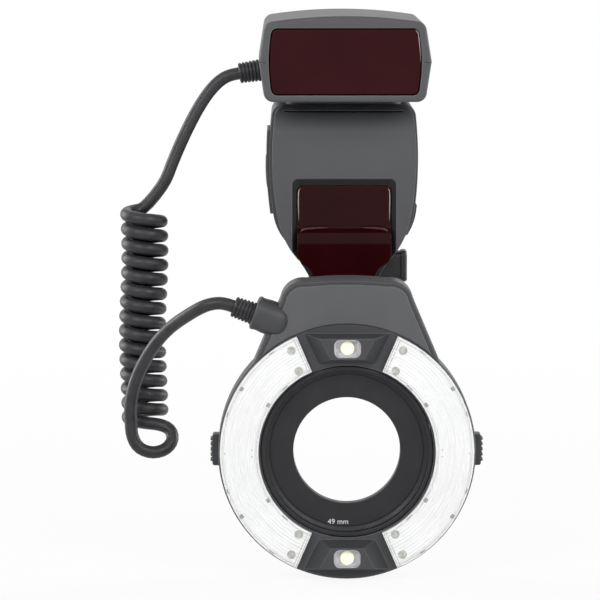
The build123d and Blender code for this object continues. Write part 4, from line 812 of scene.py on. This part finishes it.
clips = bmesh.new()
for radius, angle in CLIP_PLACES:
    for way in four_ways(angle):
        prism(clips, rounded(*CLIP_OUTLINE), lambda u, v, level: ring_point(
            radius + v, CLIP_BACK - CLIP_THICKNESS * level, way + u * (1 - CLIP_TAPER * level) / radius))
show("window_clips", clips, "ring_head", "clear_window", "clip")

dashes = bmesh.new()
for radius, angle, half in DASH_PLACES:
    for way in four_ways(angle):
        prism(dashes, rounded(half, DASH_HALF_WIDTH, DASH_CORNER, 2), lambda u, v, level: ring_point(
            radius + v, DASH_BACK - DASH_THICKNESS * level, way + u / radius))
for side in (1, -1):
    for radius, drop in GATE_PLACES:
        boss_disc(dashes, radius, side * (TAU / 4 + drop / radius), GATE_SIZE, GATE_RISE)
show("window_gate_marks", dashes, "ring_head", "clear_window", "clip")

LAMP_HALF_WIDTH = 5.55
LAMP_HALF_HEIGHT = 3.8
LAMP_CORNER = 2.6
LAMP_OUT = 44.0
LAMP_FACE = -102.1
LAMP_FLOOR = -98.1
CUP_FLOOR_DEPTH = 0.3
# How far in from the lamp's outline, and how deep
CUP_PROFILE = [
    (0.15, LAMP_FLOOR - 1.9), (0.4, LAMP_FLOOR - 1.9), (1.5, LAMP_FLOOR - 0.35), (1.5, LAMP_FLOOR - 0.05),
    (0.15, LAMP_FLOOR - 0.05),
]
RIM_PROFILE = [
    (0.0, LAMP_FACE + 0.3), (0.0, LAMP_FACE - 0.02), (0.15, LAMP_FACE - 0.12), (0.4, LAMP_FACE - 0.12),
    (0.55, LAMP_FACE + 0.02), (0.55, LAMP_FACE + 0.3),
]


def lamp_rows(profile, middle_z, corner_share):
    """The lamp's outline at each step of a profile, its corners closing by a share of the inset."""
    rows = []
    for inset, y in profile:
        corner = LAMP_CORNER - inset * corner_share
        outline = rounded(LAMP_HALF_WIDTH - inset, LAMP_HALF_HEIGHT - inset, corner)
        rows.append([at(u, y, middle_z + v) for u, v in outline])
    return rows


def lamp(upside, name):
    """A lamp's white cup under its lens and the bright rim of the lens."""
    middle_z = RING_Z + upside * LAMP_OUT
    cup = bmesh.new()
    rows = lamp_rows(CUP_PROFILE, middle_z, 0.5)
    strip(cup, rows, closed_rows=True)
    strip(cup, [rows[2], [place + Vector((0, CUP_FLOOR_DEPTH * MM, 0)) for place in rows[2]]], caps=True)
    show(name + "_cup", cup, "ring_head", "reflector_metal", "cup")
    rim = bmesh.new()
    strip(rim, lamp_rows(RIM_PROFILE, middle_z, 1.0), closed_rows=True)
    show(name + "_rim", rim, "ring_head", "clear_window", "rim")


lamp(1, "upper_lamp")
lamp(-1, "lower_lamp")

ADAPTER_PROFILE = [
    (34.0, -94.5), (34.3, -94.8), (35.6, -94.8), (35.9, -94.5), (35.9, -91.6), (34.4, -91.6),
    (34.4, -82.2), (35.9, -82.2), (35.9, -79.8), (32.4, -79.8), (32.4, -88.6), (24.5, -88.6),
]
THREAD_BACK = -88.6
THREAD_LENGTH = 3.5
THREAD_RADIUS = 24.5
THREAD_TURNS = 5
THREAD_DEPTH = 0.25
THREAD_CREST_SHARES = (0.3, 0.7)
THREAD_RUN_IN = 0.2
THREAD_RUN_OUT = 0.1
THREAD_MARK_SIZE = 3.1
THREAD_MARK_PLACE = (-3.6, -90.65, RING_Z - 30.2)
ADAPTER_STEPS = 180
ADAPTER_FRONT_PROFILE = [
    (24.5, -85.1), (22.3, -85.1), (22.3, -90.4), (22.5, -90.6), (31.9, -90.6), (32.1, -90.4),
    (32.6, -90.4), (32.8, -90.6), (34.0, -90.9),
]


def adapter():
    """The adapter ring with its funnel, groove and thread."""
    thread = []
    crest = THREAD_RADIUS - THREAD_DEPTH
    pitch = THREAD_LENGTH / THREAD_TURNS
    for turn in range(THREAD_TURNS):
        low, high = (THREAD_BACK + pitch * (turn + share) for share in THREAD_CREST_SHARES)
        thread += [(THREAD_RADIUS, low - THREAD_RUN_IN), (crest, low), (crest, high),
                   (THREAD_RADIUS, high + THREAD_RUN_OUT)]
    made = turned(ADAPTER_PROFILE + thread + ADAPTER_FRONT_PROFILE, ADAPTER_STEPS)
    show("adapter_turning", made, "adapter_ring", "adapter_metal", replaces=("adapter_ring",))


adapter()
label("thread_size_mark", "49 mm", THREAD_MARK_SIZE, THREAD_MARK_PLACE, FRONT_TURN, "adapter_ring",
      "adapter_metal")

SEAL_REAR = [(35.97, -84.5), (36.15, -84.5), (36.15, -83.9), (35.97, -83.9)]
SEAL_FRONT = [(35.94, -93.6), (36.17, -93.6), (36.17, -92.8), (35.94, -92.8)]
SEAL_STEPS = 120
show("bore_seal_front", turned(SEAL_FRONT, SEAL_STEPS), "ring_head", "inner_plastic")
show("bore_seal_rear", turned(SEAL_REAR, SEAL_STEPS), "ring_head", "inner_plastic")

ELBOW_TILT = math.radians(20)
ELBOW_SWELL = 1.08
ELBOW_SHIFT = Vector((0.4 * MM, 0.0, 0.7 * MM))
ELBOW_MIDDLE = (-32.2, -88.9, 1.8)
ELBOW_HALF_WIDTH = 6.55
ELBOW_HALF_DEPTH = 8.45
ELBOW_END_DEPTH_SHARE = 0.55
ELBOW_ROUNDNESS = 0.75
ELBOW_STEPS = 40
# How far along, and the share of the full section
ELBOW_SECTIONS = [
    (-6.6, 0.30), (-6.4, 0.55), (-5.6, 0.78), (-4.2, 0.92), (-2.0, 1.0), (1.5, 1.0), (4.2, 0.96),
    (5.0, 0.97), (5.4, 1.0), (6.3, 0.98), (6.7, 0.88), (6.75, 0.7), (6.75, 0.3),
]


def squared(part):
    """A cosine or sine that makes an oval squarer."""
    return math.copysign(abs(part) ** ELBOW_ROUNDNESS, part)


def elbow():
    """The rounded housing that the cord's boot sits in, grown from its middle to the size in the photo."""
    made = bmesh.new()
    rows = []
    for along, share in ELBOW_SECTIONS:
        half_depth = ELBOW_HALF_DEPTH * (ELBOW_END_DEPTH_SHARE + (1 - ELBOW_END_DEPTH_SHARE) * share)
        row = []
        for step in range(ELBOW_STEPS):
            angle = TAU * step / ELBOW_STEPS
            across = squared(math.cos(angle)) * ELBOW_HALF_WIDTH * share
            deep = squared(math.sin(angle)) * half_depth
            row.append(at(
                ELBOW_MIDDLE[0] - math.cos(ELBOW_TILT) * along + math.sin(ELBOW_TILT) * across,
                ELBOW_MIDDLE[1] + deep,
                ELBOW_MIDDLE[2] + math.sin(ELBOW_TILT) * along + math.cos(ELBOW_TILT) * across,
            ))
        rows.append(row)
    strip(made, rows, caps=True)
    low, high = (Vector(corner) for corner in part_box("elbow_housing"))
    middle = (low + high) / 2
    for vertex in made.verts:
        vertex.co = middle + ELBOW_SHIFT + (vertex.co - middle) * ELBOW_SWELL
    show("elbow_cover", made, "ring_head", "head_plastic", replaces=("elbow_housing",), crease=60.0)


elbow()

# Cord boots: close ribs with narrow grooves

BOOT_LENGTH = 9.2
BOOT_RIBS = 6
BOOT_RADIUS = 4.72
BOOT_TIP_RADIUS = 4.38
BOOT_GROOVE = 0.5
BOOT_CORE = 1.0
BOOT_TIP_STEP = 0.1
BOOT_SHOULDER = 0.12
BOOT_SIDES = 40
# Along one rib's pitch, and how far below its crest
BOOT_RIB = [
    (0.10, BOOT_GROOVE), (0.18, BOOT_SHOULDER), (0.28, 0.0), (0.72, 0.0), (0.82, BOOT_SHOULDER),
    (0.90, BOOT_GROOVE),
]


def boot(name, tip, lead, body, node):
    """A ribbed boot whose ribs grow towards the housing, around the cord's line."""
    end = at(*tip)
    way = (at(*lead) - end).normalized()
    root = end - way * BOOT_LENGTH * MM
    across = way.orthogonal().normalized()
    aside = way.cross(across)
    pitch = BOOT_LENGTH / BOOT_RIBS
    profile = [(0.0, BOOT_CORE), (0.0, BOOT_RADIUS - BOOT_GROOVE)]
    for index in range(BOOT_RIBS):
        crest = BOOT_RADIUS + (BOOT_TIP_RADIUS - BOOT_RADIUS) * index / (BOOT_RIBS - 1)
        profile += [((index + share) * pitch, crest - drop) for share, drop in BOOT_RIB]
    profile += [(BOOT_LENGTH, BOOT_TIP_RADIUS - BOOT_GROOVE - BOOT_TIP_STEP), (BOOT_LENGTH, BOOT_CORE)]
    angles = [TAU * step / BOOT_SIDES for step in range(BOOT_SIDES)]
    made = bmesh.new()
    rows = []
    for length, radius in profile:
        middle = root + way * length * MM
        rows.append([
            middle + (across * math.cos(angle) + aside * math.sin(angle)) * radius * MM for angle in angles
        ])
    strip(made, rows, caps=True)
    show(name, made, body, "cord_rubber", replaces=(node,), crease=40.0)


boot("box_boot_ribbed", BOX_BOOT_TIP, BOX_LEAD, "control_unit", "box_boot")
boot("head_boot_ribbed", HEAD_BOOT_TIP, HEAD_LEAD, "ring_head", "head_boot")


# Screws

SCREW_SIDES = 24
SCREW_TOP = 0.55
SCREW_SINK = 0.45
SCREW_PROFILE = [(1.0, 0.0), (1.0, 0.3), (0.86, 0.5), (0.62, SCREW_TOP)]
CROSS_HALF_WIDTH = 0.11
CROSS_REACH = 0.5
CROSS_TAPER = 0.8


def screw(name, place, way, radius, body):
    """A low round screw head with a cross recess; way is the axis it faces along."""
    made = bmesh.new()
    face = Vector(way).normalized()
    side = face.orthogonal().normalized()
    up = face.cross(side)
    middle = at(*place)

    def spot(u, v, height):
        return middle + (side * u + up * v + face * height) * MM

    angles = [TAU * step / SCREW_SIDES for step in range(SCREW_SIDES)]
    rows = []
    for share, height in SCREW_PROFILE:
        out = radius * share
        rows.append([spot(out * math.cos(angle), out * math.sin(angle), height) for angle in angles])
    lines = strip(made, rows)
    made.faces.new(reversed(lines[0]))
    rim = lines[-1]
    wide, long = radius * CROSS_HALF_WIDTH, radius * CROSS_REACH
    cross = [(long, wide), (wide, wide), (wide, long), (-wide, long), (-wide, wide), (-long, wide),
             (-long, -wide), (-wide, -wide), (-wide, -long), (wide, -long), (wide, -wide), (long, -wide)]
    top = [made.verts.new(spot(u, v, SCREW_TOP)) for u, v in cross]
    depth = SCREW_TOP - SCREW_SINK
    floor = [made.verts.new(spot(u * CROSS_TAPER, v * CROSS_TAPER, depth)) for u, v in cross]
    edges = [made.edges.new(pair) for pair in zip(top, top[1:] + top[:1])]
    outer = [made.edges.get(pair) for pair in zip(rim, rim[1:] + rim[:1])]
    bmesh.ops.triangle_fill(made, edges=edges + outer, use_beauty=True)
    for index in range(len(cross)):
        after = (index + 1) % len(cross)
        made.faces.new((top[index], top[after], floor[after], floor[index]))
    made.faces.new(floor)
    show(name, made, body, "steel", "screw", crease=25.0)


HEAD_BACK = -76.5
HEAD_SCREW_RADIUS = 1.7
HEAD_SCREW_CIRCLE = 44.6
HEAD_SCREW_ANGLES = (42, -42, 138, -138)
CAP_SCREW_Z = RING_Z + 63.5
CAP_SCREW_PLACES = (-14.0, 14.0)
UNIT_SCREW_RADIUS = 1.5
FLOOR_SCREW_Z = 24.0
FLOOR_SCREW_PLACES = ((-17.5, 16.0), (17.5, 16.0), (-17.5, -8.0), (17.5, -8.0))
BOX_SCREW_Z = 89.9
BOX_SCREW_PLACES = ((-27.0, 36.0), (27.0, 36.0), (-27.0, -36.0), (27.0, -36.0))
BACKWARDS = (0, 1, 0)
DOWN = (0, 0, -1)

for number, angle in enumerate(HEAD_SCREW_ANGLES, 1):
    turn = math.radians(angle)
    place = (HEAD_SCREW_CIRCLE * math.sin(turn), HEAD_BACK, RING_Z + HEAD_SCREW_CIRCLE * math.cos(turn))
    screw(f"ring_screw_{number}", place, BACKWARDS, HEAD_SCREW_RADIUS, "ring_head")
for number, x in enumerate(CAP_SCREW_PLACES, 1):
    screw(f"cap_screw_{number}", (x, HEAD_BACK, CAP_SCREW_Z), BACKWARDS, HEAD_SCREW_RADIUS, "ring_head")
for number, (x, y) in enumerate(FLOOR_SCREW_PLACES, 1):
    screw(f"floor_screw_{number}", (x, y, FLOOR_SCREW_Z), DOWN, UNIT_SCREW_RADIUS, "control_unit")
for number, (x, y) in enumerate(BOX_SCREW_PLACES, 1):
    screw(f"box_screw_{number}", (x, y, BOX_SCREW_Z), DOWN, UNIT_SCREW_RADIUS, "control_unit")


# Top box: the dark seam between its halves

SEAM_Z = 106.7
SEAM_HALF = 0.17
SEAM_DEPTH = 0.9
SEAM_STEPS = 6
SEAM_START = (33.2, -50.04)
FRONT_CORNER = (35.05, -48.4)
FRONT_CORNER_RADII = (1.68, 1.64)
REAR_CORNER = (31.7, 40.9)
REAR_CORNER_RADIUS = 5.03
REAR_CORNER_TURN = math.radians(75)


def box_seam(side, name):
    """A dark line around one side of the box, from its front corner to its rear one."""
    made = bmesh.new()
    outer = [SEAM_START]
    for step in range(SEAM_STEPS + 1):
        angle = TAU / 4 * step / SEAM_STEPS
        outer.append((FRONT_CORNER[0] + FRONT_CORNER_RADII[0] * math.sin(angle),
                      FRONT_CORNER[1] - FRONT_CORNER_RADII[1] * math.cos(angle)))
    for step in range(SEAM_STEPS + 1):
        angle = REAR_CORNER_TURN * step / SEAM_STEPS
        outer.append((REAR_CORNER[0] + REAR_CORNER_RADIUS * math.cos(angle),
                      REAR_CORNER[1] + REAR_CORNER_RADIUS * math.sin(angle)))
    inner = [(x - SEAM_DEPTH, y + (SEAM_DEPTH if y < 0 else 0.0)) for x, y in reversed(outer)]
    prism(made, outer + inner, lambda u, v, level: at(side * u, v, SEAM_Z + SEAM_HALF * (2 * level - 1)))
    show(name, made, "control_unit", "body_plastic", "seam")


box_seam(1, "box_seam_left")
box_seam(-1, "box_seam_right")


# Windows: thin light beads along their side edges that are painted highlights, and painted highlights on the
# crests of the lower one

BEAD_SIDES = 8
BEAD_RADIUS = 0.22
BEAD_TIP_SHARE = 0.15
CREST_RADIUS = 0.6


def bead(name, points, radius, paint="bead"):
    """A thin light bead that follows a few points on a window and tapers at both ends: a painted highlight.
    """
    made = bmesh.new()
    rows = []
    angles = [TAU * step / BEAD_SIDES for step in range(BEAD_SIDES)]
    places = [at(*point) for point in points]
    for index, place in enumerate(places):
        share = index / (len(places) - 1)
        size = radius * MM * max(BEAD_TIP_SHARE, math.sin(TAU / 2 * share) ** 0.5)
        before, after = places[max(0, index - 1)], places[min(len(places) - 1, index + 1)]
        along = (after - before).normalized()
        across = along.cross(Vector((0, -1, 0))).normalized()
        out = across.cross(along).normalized()
        rows.append([
            place + across * size * math.cos(angle) + out * size * math.sin(angle) for angle in angles
        ])
    strip(made, rows, caps=True)
    show(name, made, "control_unit", "red_window", paint)


TOP_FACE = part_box("top_window")[0][1] / MM
LOWER_FACE = -27.4
# x and z, on the face of the window
TOP_BEAD = [(29.4, 120.55), (30.3, 120.0), (30.9, 119.0), (31.35, 116.0), (31.75, 111.5), (31.85, 107.0)]
LOWER_BEAD = [(18.9, 51.4), (19.5, 50.6), (19.7, 49.0), (19.7, 45.0), (19.6, 41.0), (19.5, 37.5)]
# x, y and z, along the bulge, where the crest's painted highlight runs
LOWER_CREST = [
    (18.9, -30.4, 32.6), (18.3, -30.2, 33.6), (16.4, -30.0, 34.2), (13.4, -29.8, 34.5), (10.0, -29.7, 34.6),
    (6.6, -29.6, 34.6),
]

# Painted highlights along the side edges of the top and lower windows.
bead("top_window_bead", [(x, TOP_FACE, z) for x, z in TOP_BEAD], BEAD_RADIUS)
for side, name in ((1, "left"), (-1, "right")):
    bead(f"lower_window_{name}_bead", [(side * x, LOWER_FACE, z) for x, z in LOWER_BEAD], BEAD_RADIUS)
    bead(f"lower_window_{name}_crest", [(side * x, y, z) for x, y, z in LOWER_CREST], CREST_RADIUS, "crest")


# Battery door: grip ridges and an arrow

GRIP_RIDGES = 6
GRIP_START = -9.6
GRIP_PITCH = 1.5
GRIP_LOW = 50.5
GRIP_LENGTH = 14.0
GRIP_ROWS = 13
GRIP_RISE = 0.45
# Across one ridge: the share of its rise, how deep its foot sinks, and the place along the door
GRIP_SECTION = [(0.0, 0.4, -0.45), (0.7, 0.0, -0.3), (1.0, 0.0, 0.0), (0.7, 0.0, 0.3), (0.0, 0.4, 0.45)]
DOOR_FACE = 33.48
DOOR_BOW = 1.6
DOOR_MIDDLE_Z = 63.5
DOOR_HALF_HEIGHT = 23.5
ARROW = [(1.6, 0.0), (-1.2, 1.9), (-0.5, 0.0), (-1.2, -1.9)]
ARROW_PLACE = (-33.35, 4.5, 57.5)
ARROW_RISE = 0.28


def door_marks():
    """Grip ridges on the door's bowed face, and an arrow that shows how it opens."""
    made = bmesh.new()
    for number in range(GRIP_RIDGES):
        y = GRIP_START + number * GRIP_PITCH
        rows = []
        for step in range(GRIP_ROWS):
            z = GRIP_LOW + GRIP_LENGTH * step / (GRIP_ROWS - 1)
            bow = DOOR_FACE - DOOR_BOW * ((z - DOOR_MIDDLE_Z) / DOOR_HALF_HEIGHT) ** 2
            rise = GRIP_RISE * math.sin(TAU / 2 * (step + 0.5) / GRIP_ROWS) ** 0.4
            rows.append([at(sink - bow - rise * share, y + along, z) for share, sink, along in GRIP_SECTION])
        strip(made, rows, caps=True)
    show("door_grip", made, "battery_door", "body_plastic")
    arrow = bmesh.new()
    x, y, z = ARROW_PLACE
    prism(arrow, ARROW, lambda u, v, level: at(x - ARROW_RISE * level, y - u, z + v))
    show("door_arrow", arrow, "battery_door", "body_plastic", "mark")


door_marks()


# Rear controls: readout, key marks and dial marks

KEYS = 4
KEY_PITCH = 11.0
KEY_ROW = 55.0
KEY_TOP = 36.0
KEY_MARK_SIZE = 2.6
SET_MARK_SIZE = 2.3
DIAL_Z = 41.2
SWITCH_MARK_SIZE = 1.7
SWITCH_MARKS = [("on_mark", "ON", 13.6), ("off_mark", "OFF", 22.0)]
SWITCH_MARK_FACE = 34.8
SWITCH_MARK_Z = 33.2


def back_of(box):
    """How far back a box reaches, in millimetres."""
    return box[1][1] / MM


# The marks count from the left as seen from behind, which is from +X
for number in range(KEYS):
    spot = KEY_PITCH * (number - (KEYS - 1) / 2)
    label(f"key_mark_{number + 1}", str(KEYS - number), KEY_MARK_SIZE, (spot, KEY_TOP, KEY_ROW), REAR_TURN,
          f"function_button_{number + 1}", "key_rubber")
label("set_mark", "SET", SET_MARK_SIZE, (0, back_of(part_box("set_button")), DIAL_Z), REAR_TURN, "set_button",
      "key_rubber")
for name, text, x in SWITCH_MARKS:
    label(name, text, SWITCH_MARK_SIZE, (x, SWITCH_MARK_FACE, SWITCH_MARK_Z), REAR_TURN, "control_unit",
          "body_plastic")

MARK_SINK = 0.03
MARK_THICKNESS = 0.07
DIAL_ARROW = [(0.0, 1.0), (-0.8, -0.5), (0.8, -0.5)]
DIAL_ARROW_OUT = 6.4
ICON_X = 18.2
ICON_Z = 46.0
BOLT = [(-0.3, 1.6), (0.9, 1.6), (0.25, 0.35), (0.95, 0.35), (-0.6, -1.7), (-0.1, -0.2), (-0.9, -0.2)]
SUN_RADIUS = 0.75
SUN_SIDES = 16
SUN_RAYS = 8
SUN_RAY = [(1.05, -0.12), (1.75, -0.12), (1.75, 0.12), (1.05, 0.12)]


def dial_marks():
    """Four small arrowheads on the dial's face."""
    made = bmesh.new()
    face = back_of(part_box("select_dial")) - MARK_SINK
    for quarter in range(4):
        angle = TAU / 4 * quarter
        prism(made, DIAL_ARROW, lambda u, v, level: at(
            math.cos(angle) * u + math.sin(angle) * (DIAL_ARROW_OUT + v), face + MARK_THICKNESS * level,
            DIAL_Z - math.sin(angle) * u + math.cos(angle) * (DIAL_ARROW_OUT + v)))
    show("dial_arrows", made, "select_dial", "dial_plastic", "mark")


def key_icons():
    """A flash sign on the test key and a lamp sign on the lamp key."""
    bolt = bmesh.new()
    face = back_of(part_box("test_button")) - MARK_SINK
    prism(bolt, BOLT, lambda u, v, level: at(-ICON_X - u, face + MARK_THICKNESS * level, ICON_Z + v))
    show("test_mark", bolt, "test_button", "key_rubber", "lamp_red")
    sun = bmesh.new()
    face = back_of(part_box("lamp_button")) - MARK_SINK
    disc = [(SUN_RADIUS * math.cos(TAU * step / SUN_SIDES), SUN_RADIUS * math.sin(TAU * step / SUN_SIDES))
            for step in range(SUN_SIDES)]
    prism(sun, disc, lambda u, v, level: at(ICON_X - u, face + MARK_THICKNESS * level, ICON_Z + v))
    for ray in range(SUN_RAYS):
        angle = TAU * ray / SUN_RAYS
        prism(sun, SUN_RAY, lambda u, v, level: at(
            ICON_X - (u * math.cos(angle) - v * math.sin(angle)), face + MARK_THICKNESS * level,
            ICON_Z + u * math.sin(angle) + v * math.cos(angle)))
    show("lamp_mark", sun, "lamp_button", "key_rubber", "mark")


dial_marks()
key_icons()

READOUT_RISE = 0.05
READOUT_FACE = back_of(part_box("lcd_panel")) + READOUT_RISE
# A name, a text, its size, x and z
READOUT = [
    ("readout_mode", "M", 4.2, 16.0, 75.5), ("readout_power", "1/16", 7.2, -2.0, 71.0),
    ("readout_ratio", "A:B  1:1", 3.4, 5.0, 64.3), ("readout_zoom", "0.0", 3.4, -14.0, 64.3),
]
for name, text, size, x, z in READOUT:
    label(name, text, size, (x, READOUT_FACE, z), REAR_TURN, "control_unit", "lcd_grey", "ink")
